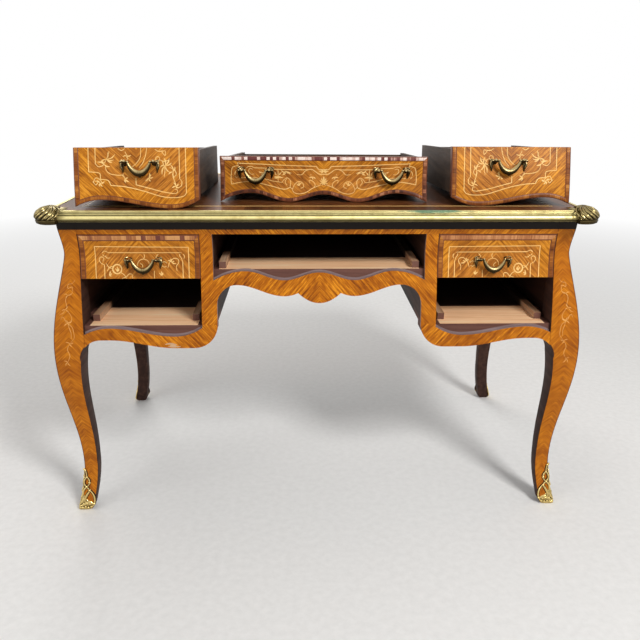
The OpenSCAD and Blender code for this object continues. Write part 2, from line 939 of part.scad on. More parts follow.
// Half the section of a cast post, [radius, distance out of the face]: a rosette on the
// face, a neck and a head, with a shank through the front
module post_section() {
    shank_low = -front_thickness - nut_thickness - shank_end;
    polygon([
        [0, shank_low], [shank_radius, shank_low], [shank_radius, seat_gap],
        [rosette_radius, seat_gap], [rosette_radius, rosette_thickness / 2],
        [rosette_radius * 0.7, rosette_thickness],
        [neck_radius, rosette_thickness * 2],
        [neck_radius, hinge_out], [0, hinge_out]
    ]);
    intersection() {
        translate([0, hinge_out]) circle(r = head_radius);
        translate([0, hinge_out - head_radius]) square([head_radius, 2 * head_radius]);
    }
}

// A cast post, whose head is bored for the bail's pin
module post() {
    difference() {
        rotate([90, 0, 0])
            rotate_extrude()
                post_section();
        translate([-2 * head_radius, -hinge_out, 0])
            rotate([0, 90, 0])
                cylinder(r = pin_radius + pin_gap, h = 4 * head_radius);
    }
}

// A hexagonal nut on the shank, against the front's inner face
module nut(slope) {
    seat = front_thickness * cos(slope) + seat_gap;
    difference() {
        translate([0, seat + nut_thickness, 0])
            rotate([90, 0, 0])
                cylinder(r = 2 * shank_radius, h = nut_thickness, $fn = 6);
        inward_bar(shank_radius + thread_gap, seat - 1, seat + nut_thickness + 1);
    }
}

module pull_posts(pull) {
    color(brass)
        at_pull(pull)
            at_each_post() {
                post();
                nut(face_slope(pull[1]));
            }
}

// The bail: a crescent that swells to a bead, with a pin and a knob at each end
eye_radius = bail_end_radius + 0.8;
eye_gap = 1;
knob_radius = 2.4;
knob_gap = 0.4;
pendant_knob_radius = 2.2;
bail_half = post_spacing / 2 - head_radius - eye_radius - eye_gap;
knob_x = post_spacing / 2 + head_radius + knob_gap + knob_radius;
bail_rings = 16;
ring_sides = 10;
function bail_point(turn) = [-bail_half * cos(turn), -bail_drop * sin(turn)];
function bail_direction(turn) =
    let (step = bail_point(turn + 1) - bail_point(turn - 1)) step / norm(step);
function bail_radius(turn) = bail_end_radius
    + (bail_middle_radius - bail_end_radius) * pow(max(sin(turn), 0), 1.5);
function bail_ring(turn) =
    let (point = bail_point(turn), along_bail = bail_direction(turn), radius = bail_radius(turn))
    [for (i = [0:ring_sides - 1])
        let (angle = 360 * i / ring_sides)
        [point[0] - along_bail[1] * radius * cos(angle),
            radius * sin(angle),
            point[1] + along_bail[0] * radius * cos(angle)]];

module crescent() {
    turns = steps(0, 180, bail_rings);
    points = [for (turn = turns) each bail_ring(turn)];
    walls = [for (ring = [0:bail_rings - 1], i = [0:ring_sides - 1])
        let (a = ring * ring_sides + i, b = ring * ring_sides + (i + 1) % ring_sides)
        each [[a, b, b + ring_sides], [a, b + ring_sides, a + ring_sides]]];
    ends = [[for (i = [ring_sides - 1:-1:0]) i],
        [for (i = [0:ring_sides - 1]) bail_rings * ring_sides + i]];
    polyhedron(points, concat(walls, ends));
}

// The bail hangs straight down from the hinge line, whatever the drawer's lean
module pull_bail(pull, lean_angle) {
    color(brass)
        at_pull(pull)
            translate([0, -hinge_out, 0])
                rotate([lean_angle - face_slope(pull[1]), 0, 0])
                    union() {
                        crescent();
                        translate([0, 0, -bail_drop]) sphere(r = bead_radius);
                        translate([0, 0, -bail_drop - bead_radius]) sphere(r = pendant_knob_radius);
                        for (side = [-1, 1]) {
                            translate([side * bail_half, 0, 0]) sphere(r = eye_radius);
                            translate([side * knob_x, 0, 0]) sphere(r = knob_radius);
                        }
                        for (side = [0, 1])
                            mirror([side, 0, 0])
                                translate([bail_half, 0, 0])
                                    rotate([0, 90, 0])
                                        cylinder(r = pin_radius, h = knob_x - bail_half);
                    }
}

desktop_panel();
edge_front();
mirror([0, 1, 0]) edge_front();  // edge_rear
edge_right();
mirror([1, 0, 0]) edge_right();  // edge_left
corner_mounts();
mirror([1, 0, 0]) mirror([0, 1, 0]) leg();  // leg_front_left
mirror([0, 1, 0]) leg();  // leg_front_right
mirror([1, 0, 0]) leg();  // leg_rear_left
leg();  // leg_rear_right
sabots();
frieze_rail();
mirror([1, 0, 0]) stile_right();  // stile_left
stile_right();
mirror([1, 0, 0]) apron_right();  // apron_left
apron_centre();
apron_right();
mirror([1, 0, 0]) side_panel_right();  // side_panel_left
side_panel_right();
back_panel();
mirror([1, 0, 0]) partition_right();  // partition_left
partition_right();
mirror([1, 0, 0]) dustboard_right();  // dustboard_left
dustboard_centre();
dustboard_right();
guide_strips();
upper_runners();
corner_blocks();
mirror([1, 0, 0]) upper_front();  // upper_left_front
mirror([1, 0, 0]) drawer_sides(upper_drawer);  // upper_left_sides
mirror([1, 0, 0]) drawer_back(upper_drawer);  // upper_left_back
mirror([1, 0, 0]) drawer_bottom(upper_drawer);  // upper_left_bottom
mirror([1, 0, 0]) pull_posts(upper_pull);  // upper_left_posts
mirror([1, 0, 0]) pull_bail(upper_pull, 0);  // upper_left_bail
upper_front();  // upper_right_front
drawer_sides(upper_drawer);  // upper_right_sides
drawer_back(upper_drawer);  // upper_right_back
drawer_bottom(upper_drawer);  // upper_right_bottom
pull_posts(upper_pull);  // upper_right_posts
pull_bail(upper_pull, 0);  // upper_right_bail
left_on_desktop() lower_front();  // lower_left_front
left_on_desktop() drawer_sides(lower_drawer);  // lower_left_sides
left_on_desktop() drawer_back(lower_drawer);  // lower_left_back
left_on_desktop() drawer_bottom(lower_drawer);  // lower_left_bottom
left_on_desktop() pull_posts(lower_pull);  // lower_left_posts
left_on_desktop() pull_bail(lower_pull, side_lean);  // lower_left_bail
right_on_desktop() lower_front();  // lower_right_front
right_on_desktop() drawer_sides(lower_drawer);  // lower_right_sides
right_on_desktop() drawer_back(lower_drawer);  // lower_right_back
right_on_desktop() drawer_bottom(lower_drawer);  // lower_right_bottom
right_on_desktop() pull_posts(lower_pull);  // lower_right_posts
right_on_desktop() pull_bail(lower_pull, side_lean);  // lower_right_bail
centre_on_desktop() centre_front();
centre_on_desktop() drawer_sides(centre_drawer);  // centre_sides
centre_on_desktop() drawer_back(centre_drawer);  // centre_back
centre_on_desktop() drawer_bottom(centre_drawer);  // centre_bottom
centre_on_desktop() pull_posts(centre_left_pull);  // centre_left_posts
centre_on_desktop() pull_bail(centre_left_pull, centre_lean);  // centre_left_bail
centre_on_desktop() pull_posts(centre_right_pull);  // centre_right_posts
centre_on_desktop() pull_bail(centre_right_pull, centre_lean);  // centre_right_bail
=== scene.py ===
"""The looks of a bureau plat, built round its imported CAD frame."""

import math

import bmesh
import bpy
from mathutils import Matrix, Vector


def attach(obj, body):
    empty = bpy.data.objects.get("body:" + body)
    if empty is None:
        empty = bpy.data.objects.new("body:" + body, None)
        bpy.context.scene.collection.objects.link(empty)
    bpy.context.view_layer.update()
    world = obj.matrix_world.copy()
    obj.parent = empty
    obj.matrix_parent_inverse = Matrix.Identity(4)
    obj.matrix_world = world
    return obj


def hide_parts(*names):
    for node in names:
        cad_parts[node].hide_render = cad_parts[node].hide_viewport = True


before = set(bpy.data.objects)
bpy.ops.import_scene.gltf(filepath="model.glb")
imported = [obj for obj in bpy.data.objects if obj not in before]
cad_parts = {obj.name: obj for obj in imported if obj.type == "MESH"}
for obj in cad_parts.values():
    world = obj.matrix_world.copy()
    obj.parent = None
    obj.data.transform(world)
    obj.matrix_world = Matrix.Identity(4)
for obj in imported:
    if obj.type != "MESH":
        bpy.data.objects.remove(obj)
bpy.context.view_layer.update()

# Driving sizes in millimetres, the same as the frame's
MM = 0.001
HALF_WIDTH = 586.5
HALF_DEPTH = 304.5
DESK_HEIGHT = 774
EDGE_HEIGHT = 25
FRIEZE_TOP = DESK_HEIGHT - EDGE_HEIGHT
PANEL = 22
EDGE_PROUD = 0.8
TOP_HALF_WIDTH = 610
TOP_HALF_DEPTH = 345
EDGE_DEPTH = 12
CORNER = 32
CORNER_PROUD = 22
CORNER_RISE = 11
CORNER_LIP = 3
POST = 35.5
WAIST = FRIEZE_TOP - 80
KNEE = FRIEZE_TOP - 325
ANKLE = 135
FRIEZE_FLARE = 8
KNEE_SWELL = 38
KNEE_ONSET = 0.6
ANKLE_SWELL = 10
TOE_SWELL = 29
KNEE_WIDTH = 61
ANKLE_WIDTH = 34
LEG_TAPER = 1.45
DRAWER_GAP = 1
SLOT_TOP = FRIEZE_TOP - 34
FRONT_TOP = SLOT_TOP - DRAWER_GAP
CENTRE_BOARD = SLOT_TOP - 84
SIDE_BOARD = SLOT_TOP - 213
UPPER_FRONT_BOTTOM = FRONT_TOP - 101.5
LOWER_FRONT_TOP = UPPER_FRONT_BOTTOM - DRAWER_GAP
SLOT_HALF = 246.5
SLOT_IN = 275
SLOT_OUT = 551
KNEEHOLE_HALF = 239
FACING = 10
BOARD = 12
SIDE_BAND = 28.5
FRONT_THICKNESS = 20
REBATE = 9.7
HINGE_OUT = 18
POST_SPACING = 64
SURFACE = DESK_HEIGHT - EDGE_PROUD
RESTING_GAP = 0.2
# The sides of the desk, by name and by the sign of x
HANDS = (("left", -1), ("right", 1))


# The swelling outline that every outer face follows

def ease(t):
    return (1 - math.cos(math.pi * t)) / 2


def between(low, high, value):
    return (value - low) / (high - low)


def swell(z):
    if z >= WAIST:
        return FRIEZE_FLARE * ease(between(WAIST, FRIEZE_TOP, z))
    if z >= KNEE:
        return KNEE_SWELL * ease(between(WAIST, KNEE, z)) ** KNEE_ONSET
    if z >= ANKLE:
        return ANKLE_SWELL + (KNEE_SWELL - ANKLE_SWELL) * ease(between(ANKLE, KNEE, z))
    turn = math.pi / 2 * between(ANKLE, 0, z)
    return ANKLE_SWELL + (TOE_SWELL - ANKLE_SWELL) * (1 - math.cos(turn))


def face_slope(z):
    return math.atan((swell(z + 1) - swell(z - 1)) / 2)


# Outlines as lists of [along, height] points in millimetres

CURVE_STEPS = 14


def shares():
    return [i / CURVE_STEPS for i in range(CURVE_STEPS + 1)]


def wave(a, b):
    return [(a[0] + (b[0] - a[0]) * t, a[1] + (b[1] - a[1]) * ease(t)) for t in shares()]


def level_off(a, b):
    return [(a[0] + (b[0] - a[0]) * t, b[1] + (a[1] - b[1]) * (1 - t) ** 2) for t in shares()]


def steepen(a, b):
    return level_off(b, a)[::-1]


def arc(centre, radius, start, end):
    turns = [math.radians(start + (end - start) * t) for t in shares()]
    return [(centre[0] + radius * math.cos(a), centre[1] + radius * math.sin(a)) for a in turns]


def mirrored(points):
    return [(-x, z) for x, z in points[::-1]]


def without_repeats(points):
    kept = []
    for point in points:
        if not kept or math.dist(point, kept[-1]) > 0.01:
            kept.append(point)
    if math.dist(kept[0], kept[-1]) < 0.01:
        kept.pop()
    return kept


def height_at(points, x):
    """The height of an outline that runs along x, at one place."""
    ordered = sorted(points)
    for (x0, z0), (x1, z1) in zip(ordered, ordered[1:]):
        if x0 <= x <= x1 and x1 > x0:
            return z0 + (z1 - z0) * (x - x0) / (x1 - x0)
    return ordered[0][1] if x < ordered[0][0] else ordered[-1][1]


CREST_LEVEL = SIDE_BOARD - 4
DIP_LEVEL = SIDE_BOARD - 24
CORNER_LEVEL = SIDE_BOARD - 19
CREST_X = SLOT_OUT - 58
DIP_X = SLOT_IN + 63
ARCH_RADIUS = 50
ARCH_TOP = CREST_LEVEL - SIDE_BAND
ARCH_SPRING = ARCH_TOP - ARCH_RADIUS
ARCH_OUT = swell(ARCH_SPRING) - KNEE_WIDTH - ARCH_RADIUS
ARCH_END = math.degrees(math.acos((-POST - ARCH_OUT) / ARCH_RADIUS))
LOW_RADIUS = 56
HIGH_RADIUS = 46
LOW_CORNER = (KNEEHOLE_HALF + LOW_RADIUS, DIP_LEVEL - SIDE_BAND + LOW_RADIUS)
CROWN = CENTRE_BOARD - 34
HIGH_CORNER = (KNEEHOLE_HALF - HIGH_RADIUS, CROWN - HIGH_RADIUS)
LOWER_DIP = (82, CENTRE_BOARD - 60)
CUSP = (50, CENTRE_BOARD - 53)
PENDANT = (0, CENTRE_BOARD - 76)

arch_and_wave = (
    arc((HALF_WIDTH + ARCH_OUT, ARCH_SPRING), ARCH_RADIUS, ARCH_END, 90)
    + wave((CREST_X, ARCH_TOP), (DIP_X, DIP_LEVEL - SIDE_BAND))
    + arc(LOW_CORNER, LOW_RADIUS, 270, 180)
)
high_arc = arc(HIGH_CORNER, HIGH_RADIUS, 0, 90)
crown_to_middle = (
    wave((HIGH_CORNER[0], CROWN), LOWER_DIP)
    + steepen(LOWER_DIP, CUSP)
    + level_off(CUSP, PENDANT)
)
side_upper_edge = (
    level_off((SLOT_OUT, CORNER_LEVEL), (CREST_X, CREST_LEVEL))
    + wave((CREST_X, CREST_LEVEL), (DIP_X, DIP_LEVEL))
    + steepen((DIP_X, DIP_LEVEL), (SLOT_IN, CREST_LEVEL))
)
CENTRE_CREST = (SLOT_HALF - 74, CENTRE_BOARD - 2.5)
CENTRE_DIP = (82, CENTRE_BOARD - 23.5)
centre_half_edge = (
    level_off((SLOT_HALF, CENTRE_DIP[1]), CENTRE_CREST)
    + wave(CENTRE_CREST, CENTRE_DIP)
    + wave(CENTRE_DIP, (0, CENTRE_BOARD - 5.5))
)
centre_upper_edge = centre_half_edge + mirrored(centre_half_edge)


# Materials

# Wood in deep shade, as under the brass edge and far inside a slot
SHADED = (0.010, 0.006, 0.004, 1)


class Paint:
    """A material's node tree, built by short calls."""

    def __init__(self, name):
        self.material = bpy.data.materials.new(name)
        self.material.use_nodes = True
        self.tree = self.material.node_tree
        self.shader = self.tree.nodes["Principled BSDF"]

    def node(self, kind, inputs=None, **settings):
        node = self.tree.nodes.new("ShaderNode" + kind)
        for key, value in settings.items():
            setattr(node, key, value)
        for key, value in (inputs or {}).items():
            self.feed(node.inputs[key], value)
        return node

    def feed(self, socket, value):
        if isinstance(value, bpy.types.NodeSocket):
            self.tree.links.new(value, socket)
        else:
            socket.default_value = value

    def set(self, **inputs):
        for key, value in inputs.items():
            self.feed(self.shader.inputs[key.replace("_", " ")], value)

    def math(self, operation, a, b=0.0):
        return self.node("Math", {0: a, 1: b}, operation=operation).outputs[0]

    def weighted(self, *parts):
        """The sum of (value, weight) pairs."""
        total = None
        for value, weight in parts:
            product = self.math("MULTIPLY", value, weight)
            total = product if total is None else self.math("ADD", total, product)
        return total

    def axes(self, vector):
        """The X, Y and Z of a vector."""
        return self.node("SeparateXYZ", {0: vector}).outputs

    def stretched(self, vector, scale):
        node = self.node("VectorMath", {0: vector, 1: scale}, operation="MULTIPLY")
        return node.outputs[0]

    def noise(self, vector, scale=1.0, detail=4.0, roughness=0.55, distortion=0.0):
        node = self.node("TexNoise", {
            "Vector": vector, "Scale": scale, "Detail": detail,
            "Roughness": roughness, "Distortion": distortion,
        })
        return node.outputs[0]

    def ramp(self, factor, stops):
        """Colours by factor: stops are (place, (red, green, blue)) in rising order."""
        node = self.node("ValToRGB", {0: factor})
        elements = node.color_ramp.elements
        while len(elements) < len(stops):
            elements.new(0.5)
        for element, (place, colour) in zip(elements, stops):
            element.position = place
            element.color = (*colour, 1)
        return node.outputs[0]

    def levels(self, factor, low, high, out_low=0.0, out_high=1.0):
        node = self.node("MapRange", {0: factor, 1: low, 2: high, 3: out_low, 4: out_high})
        return node.outputs[0]

    def mix(self, factor, a, b):
        node = self.node("Mix", data_type="RGBA")
        self.feed(node.inputs[0], factor)
        self.feed(node.inputs[6], a)
        self.feed(node.inputs[7], b)
        return node.outputs[2]

    def bump(self, height, distance):
        node = self.node("Bump", {"Height": height, "Distance": distance, "Strength": 1.0})
        self.feed(self.shader.inputs["Normal"], node.outputs[0])

    def grain(self):
        return self.node("UVMap", uv_map="grain").outputs[0]

    def place(self):
        return self.node("TexCoord").outputs["Object"]

    def normal(self):
        """The X, Y and Z of the surface's direction."""
        return self.axes(self.node("NewGeometry").outputs["Normal"])


def veneer(name, colours, stripe=560.0, gloss=0.34, shade_above=None, specular=0.14):
    """Polished striped veneer, whose grain runs along the first grain coordinate."""
    paint = Paint(name)
    grain = paint.grain()
    stripes = paint.noise(paint.stretched(grain, (14, stripe, 1)), detail=4, distortion=0.3)
    pores = paint.noise(paint.stretched(grain, (60, 2600, 1)), detail=5)
    figure = paint.noise(paint.stretched(grain, (34, 175, 1.2)), detail=5, distortion=0.8)
    clouds = paint.noise(paint.place(), scale=16, detail=4)
    value = paint.weighted((stripes, 0.42), (figure, 0.28), (clouds, 0.18), (pores, 0.12))
    colour = paint.ramp(value, colours)
    # Painted shade: near-black above a height, as under the brass edge
    if shade_above:
        shaded_band = paint.math("GREATER_THAN", paint.axes(paint.place())[2], shade_above)
        colour = paint.mix(shaded_band, colour, SHADED)
    paint.set(Base_Color=colour)
    paint.set(Roughness=paint.levels(pores, 0.3, 0.7, gloss - 0.04, gloss + 0.08))
    paint.set(Specular_IOR_Level=specular)
    paint.bump(pores, 0.00003)
    return paint.material


def crossband(name, colours, cell=0.012, varied=0.22, specular=0.15):
    """Cross-grained banding, laid as short pieces of varied tone."""
    paint = Paint(name)
    grain = paint.grain()
    cells = paint.math("FLOOR", paint.math("DIVIDE", paint.axes(grain)[1], cell))
    tone = paint.node("TexWhiteNoise", {"W": cells}, noise_dimensions="1D").outputs[0]
    stripes = paint.noise(paint.stretched(grain, (12, 420, 1)), detail=4)
    drift = paint.noise(paint.stretched(grain, (2, 22, 1)), detail=2)
    share = (1 - varied) / 2
    value = paint.weighted((tone, varied), (stripes, share + 0.1), (drift, share - 0.1))
    paint.set(Base_Color=paint.ramp(value, colours))
    paint.set(Roughness=0.32, Specular_IOR_Level=specular)
    paint.bump(stripes, 0.00004)
    return paint.material


def plank(name, colours, axis, gloss=0.55, pale_to=None):
    """Plain wood with its grain along an axis. One with pale_to has stained ends, and is painted as
    deep shade behind that depth."""
    paint = Paint(name)
    along = "XYZ".index(axis)
    stretch = [70.0] * 3
    stretch[along] = 3.0
    fine = [900.0] * 3
    fine[along] = 18.0
    figure = paint.noise(paint.stretched(paint.place(), stretch), detail=5, distortion=0.4)
    pores = paint.noise(paint.stretched(paint.place(), fine), detail=4)
    value = paint.weighted((figure, 0.7), (pores, 0.3))
    colour = paint.ramp(value, colours)
    # Painted deep shade behind the depth pale_to, as far inside a slot
    if pale_to:
        depth = paint.axes(paint.place())[1]
        behind = paint.levels(depth, pale_to - 0.01, pale_to + 0.01, 0.0, 0.97)
        colour = paint.mix(behind, colour, SHADED)
        forward = paint.math("LESS_THAN", paint.normal()[1], -0.6)
        colour = paint.mix(forward, colour, (0.16, 0.075, 0.055, 1))
    paint.set(Base_Color=colour)
    paint.set(Roughness=paint.levels(pores, 0.3, 0.7, gloss - 0.08, gloss + 0.1))
    paint.set(Specular_IOR_Level=0.15)
    paint.bump(pores, 0.00008)
    return paint.material


def metal(name, bright, dull, roughness, spots=0.5, stain=None, hollow=0.005, grime=0.8,
          shade_under=0.0, shade=(0.2, -0.5), dark_below=None):
    """Aged cast metal, bright on its worn edges, with old dirt in its hollows, painted shade on its
    downward faces if asked, and darker below a height if asked.
    """
    paint = Paint(name)
    place = paint.place()
    patches = paint.noise(place, scale=45, detail=6, roughness=0.65)
    specks = paint.noise(place, scale=420, detail=3)
    worn = paint.node("NewGeometry").outputs["Pointiness"]
    edge = paint.levels(worn, 0.46, 0.56)
    value = paint.weighted((edge, 1 - spots), (patches, spots))
    colour = paint.ramp(value, [(0.25, dull), (0.62, bright)])
    if stain:
        centre, radius, tint = stain
        offset = paint.node("VectorMath", {0: place, 1: centre}, operation="SUBTRACT").outputs[0]
        squashed = paint.stretched(offset, (1 / radius[0], 1 / radius[1], 1 / radius[2]))
        reach = paint.node("VectorMath", {0: squashed}, operation="LENGTH").outputs[1]
        ragged = paint.math("ADD", reach, paint.math("MULTIPLY", patches, 0.9))
        colour = paint.mix(paint.levels(ragged, 1.0, 1.5, 0.75, 0.0), colour, (*tint, 1))
    open_share = paint.node("AmbientOcclusion", {"Distance": hollow}, samples=8,
                            only_local=True).outputs["AO"]
    darkening = paint.levels(open_share, 0.35, 0.9, grime, 0.0)
    # Painted shade: faces that turn downward grow dark
    if shade_under:
        below = paint.levels(paint.normal()[2], *shade, 0.0, shade_under)
        darkening = paint.math("MAXIMUM", darkening, below)
    if dark_below:
        height = paint.axes(place)[2]
        low = paint.levels(height, dark_below - 0.001, dark_below + 0.001, 0.9, 0.0)
        darkening = paint.math("MAXIMUM", darkening, low)
    colour = paint.mix(darkening, colour, (0.024, 0.015, 0.005, 1))
    paint.set(Base_Color=colour, Metallic=1.0)
    rough = paint.levels(patches, 0.3, 0.7, roughness + 0.1, roughness - 0.06)
    paint.set(Roughness=paint.math("ADD", rough, paint.math("MULTIPLY", darkening, 0.3)))
    paint.bump(specks, 0.00006)
    return paint.material


# The gap from a slot's side to its guide strip, over which the board's top takes its front edges' dark
# colour
GUIDE_IN = 12
# How far back the pale front boards reach; behind them the boards and guides are painted as deep shade
PALE_TO = -0.192


def dustboard_wood():
    """Pale front boards, painted brighter as light falling on them, with stained front edges and
    painted deep shade behind.
    """
    paint = Paint("pale_board")
    place = paint.place()
    figure = paint.noise(paint.stretched(place, (3, 75, 75)), detail=5, distortion=0.3)
    pores = paint.noise(paint.stretched(place, (30, 900, 900)), detail=3)
    value = paint.weighted((figure, 0.7), (pores, 0.3))
    # Painted light: the tops' colours are raised above the pale wood's own, as light on the boards'
    # fronts
    top = paint.ramp(value, [(0.3, (0.76, 0.40, 0.20)), (0.5, (1.0, 0.60, 0.33)),
                             (0.7, (1.0, 0.80, 0.54))])
    # Painted deep shade far inside the slots
    shaded_rear = paint.ramp(value, [(0.3, (0.008, 0.004, 0.003)), (0.7, (0.030, 0.015, 0.010))])
    edge = paint.ramp(value, [(0.3, (0.07, 0.026, 0.020)), (0.7, (0.16, 0.07, 0.05))])
    upward = paint.math("GREATER_THAN", paint.normal()[2], 0.6)
    parts = paint.axes(place)
    behind = paint.math("GREATER_THAN", parts[1], PALE_TO)
    across = paint.math("ABSOLUTE", parts[0])
    side_low = paint.math("GREATER_THAN", across, (SLOT_IN + GUIDE_IN) * MM)
    side_high = paint.math("LESS_THAN", across, (SLOT_OUT - GUIDE_IN) * MM)
    inside = paint.math("MAXIMUM", paint.math("MULTIPLY", side_low, side_high),
                        paint.math("LESS_THAN", across, (SLOT_HALF - GUIDE_IN) * MM))
    top = paint.mix(inside, edge, top)
    colour = paint.mix(behind, paint.mix(upward, edge, top), shaded_rear)
    paint.set(Base_Color=colour, Roughness=0.62, Specular_IOR_Level=0.2)
    paint.bump(pores, 0.0001)
    return paint.material


# Painted shade under the brass edge: the carcass and leg veneers turn near-black above this height
EDGE_SHADE_LINE = FRIEZE_TOP - 23
tulipwood = veneer("tulipwood", [
    (0.38, (0.12, 0.024, 0.002)), (0.45, (0.28, 0.070, 0.003)),
    (0.52, (0.46, 0.138, 0.005)), (0.58, (0.71, 0.265, 0.014)),
], shade_above=EDGE_SHADE_LINE * MM)
leg_veneer = veneer("leg_veneer", [
    (0.36, (0.17, 0.038, 0.003)), (0.45, (0.33, 0.088, 0.004)),
    (0.53, (0.48, 0.148, 0.006)), (0.62, (0.66, 0.240, 0.013)),
], stripe=420.0, shade_above=EDGE_SHADE_LINE * MM)
dark_veneer = veneer("dark_veneer", [
    (0.30, (0.030, 0.009, 0.004)), (0.45, (0.085, 0.028, 0.009)),
    (0.56, (0.16, 0.056, 0.017)), (0.68, (0.27, 0.10, 0.03)),
], stripe=160, gloss=0.3, specular=0.06)
field_veneer = veneer("field_veneer", [
    (0.38, (0.11, 0.029, 0.003)), (0.45, (0.31, 0.096, 0.006)),
    (0.52, (0.52, 0.185, 0.011)), (0.58, (0.76, 0.32, 0.030)),
])
panel_veneer = veneer("panel_veneer", [
    (0.38, (0.10, 0.029, 0.005)), (0.45, (0.28, 0.086, 0.010)),
    (0.52, (0.46, 0.160, 0.018)), (0.58, (0.68, 0.285, 0.040)),
])
desk_border = crossband("desk_border", [
    (0.28, (0.035, 0.010, 0.005)), (0.46, (0.09, 0.030, 0.010)),
    (0.58, (0.16, 0.055, 0.017)), (0.74, (0.26, 0.10, 0.03)),
], cell=0.085, specular=0.06)
kingwood = crossband("kingwood", [
    (0.28, (0.035, 0.009, 0.004)), (0.46, (0.10, 0.026, 0.010)),
    (0.58, (0.20, 0.058, 0.022)), (0.70, (0.46, 0.20, 0.10)),
], cell=0.009, varied=0.3)
golden_band = crossband("golden_band", [
    (0.30, (0.07, 0.018, 0.004)), (0.44, (0.19, 0.052, 0.008)),
    (0.56, (0.32, 0.105, 0.016)), (0.70, (0.52, 0.22, 0.045)),
])
tan_band = crossband("tan_band", [
    (0.34, (0.15, 0.045, 0.032)), (0.43, (0.28, 0.100, 0.045)),
    (0.53, (0.42, 0.165, 0.055)), (0.66, (0.62, 0.31, 0.12)),
], cell=0.011, varied=0.42)
rose_band = crossband("rose_band", [
    (0.34, (0.26, 0.085, 0.030)), (0.46, (0.42, 0.165, 0.060)), (0.60, (0.62, 0.30, 0.13)),
], varied=0.12)
# Its near-white pieces are painted glints, as light caught on the centre drawer's top band
pink_glint_band = crossband("pink_glint_band", [
    (0.34, (0.16, 0.05, 0.045)), (0.41, (0.30, 0.13, 0.10)),
    (0.48, (0.72, 0.50, 0.42)), (0.58, (0.95, 0.80, 0.72)),
], cell=0.0075, varied=0.5)
boxwood = plank("boxwood", [(0.3, (0.74, 0.42, 0.12)), (0.7, (0.95, 0.66, 0.26))], "X", 0.35)
faint_wood = plank("faint_wood", [(0.3, (0.60, 0.27, 0.06)), (0.7, (0.84, 0.48, 0.15))], "X", 0.35)
apron_edge = plank("apron_edge", [(0.3, (0.15, 0.095, 0.09)), (0.7, (0.33, 0.245, 0.24))], "X")
front_edge = plank("front_edge", [(0.3, (0.09, 0.025, 0.012)), (0.7, (0.22, 0.07, 0.03))], "Z",
                   gloss=0.35)
DARK_OAK = [
    (0.3, (0.022, 0.013, 0.009)), (0.5, (0.055, 0.033, 0.021)), (0.7, (0.11, 0.068, 0.042)),
]
drawer_oak = plank("drawer_oak", DARK_OAK, "Y")
drawer_back_oak = plank("drawer_back_oak", DARK_OAK, "X")
front_inside = plank("front_inside", [
    (0.3, (0.08, 0.040, 0.020)), (0.5, (0.16, 0.085, 0.042)), (0.7, (0.25, 0.145, 0.075)),
], "X")
drawer_bottom_oak = plank("drawer_bottom_oak", [
    (0.3, (0.14, 0.08, 0.045)), (0.5, (0.26, 0.16, 0.09)), (0.7, (0.38, 0.25, 0.15)),
], "X")
carcass_oak = plank("carcass_oak", [
    (0.3, (0.018, 0.008, 0.006)), (0.5, (0.045, 0.020, 0.014)), (0.7, (0.08, 0.038, 0.025)),
], "Y", gloss=0.6)
guide_wood = plank("guide_wood", [
    (0.3, (0.25, 0.11, 0.06)), (0.5, (0.48, 0.28, 0.16)), (0.7, (0.66, 0.48, 0.32)),
], "Y", pale_to=PALE_TO)
worn_wood = plank("worn_wood", [(0.3, (0.42, 0.24, 0.12)), (0.7, (0.66, 0.44, 0.27))], "X")
pale_board = dustboard_wood()
VERDIGRIS = ((0.255, -0.345, 0.775), (0.085, 0.03, 0.008), (0.04, 0.20, 0.15))
# The metals below are painted with shade on their downward faces, darkest on the bails
edge_brass = metal("edge_brass", (0.72, 0.62, 0.28), (0.40, 0.31, 0.11), 0.46, 0.85, VERDIGRIS,
                   grime=0.35, shade_under=0.9)
cast_brass = metal("cast_brass", (0.32, 0.25, 0.105), (0.04, 0.029, 0.010), 0.24, 0.45,
                   grime=0.9, shade_under=0.85, dark_below=(FRIEZE_TOP + 6) * MM)
handle_bronze = metal("handle_bronze", (0.62, 0.47, 0.22), (0.035, 0.025, 0.010), 0.2, 0.4,
                      grime=0.95, shade_under=0.97, shade=(0.75, 0.0))
gilt = metal("gilt", (0.74, 0.56, 0.22), (0.13, 0.08, 0.02), 0.2, 0.35, hollow=0.01, grime=1.0)
# Painted shadow, laid on the feet beside the sabots' strands
strand_shadow = plank("strand_shadow", [(0.3, (0.030, 0.012, 0.004)), (0.7, (0.075, 0.026, 0.007))], "Z")


# Making pieces

def add_piece(mesh, name, body, materials, replaces=(), sharp=35):
    """Makes an object of a bmesh drawn in millimetres, and fixes it to a body."""
    bmesh.ops.recalc_face_normals(mesh, faces=mesh.faces[:])
    data = bpy.data.meshes.new(name)
    mesh.to_mesh(data)
    mesh.free()
    data.transform(Matrix.Scale(MM, 4))
    data.shade_smooth()
    data.set_sharp_from_angle(angle=math.radians(sharp))
    for material in materials:
        data.materials.append(material)
    piece = bpy.data.objects.new(name, data)
    bpy.context.scene.collection.objects.link(piece)
    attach(piece, body)
    if replaces:
        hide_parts(*replaces)
    return piece


def paint_nodes(material, *names):
    """Gives CAD nodes that stay in view their finish."""
    for name in names:
        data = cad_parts[name].data
        data.materials.clear()
        data.materials.append(material)


def skin(mesh, rings):
    """The faces between successive rings of points."""
    faces = []
    for a, b in zip(rings, rings[1:]):
        for i in range(len(a)):
            j = (i + 1) % len(a)
            faces.append(mesh.faces.new((a[i], a[j], b[j], b[i])))
    return faces


def fan(mesh, ring, tip):
    """Faces from the sides of a ring to one point."""
    for a, b in zip(ring, ring[1:] + ring[:1]):
        mesh.faces.new((a, b, tip))


def face(distance, turn=0, then=None):
    """Maps (along, depth, height) onto a swelling face of the desk or of a drawer."""
    turned = (then or Matrix()) @ Matrix.Rotation(math.radians(turn), 4, "Z")

    def place(along, depth, height):
        return turned @ Vector((along, depth - distance - swell(height), height))

    return place


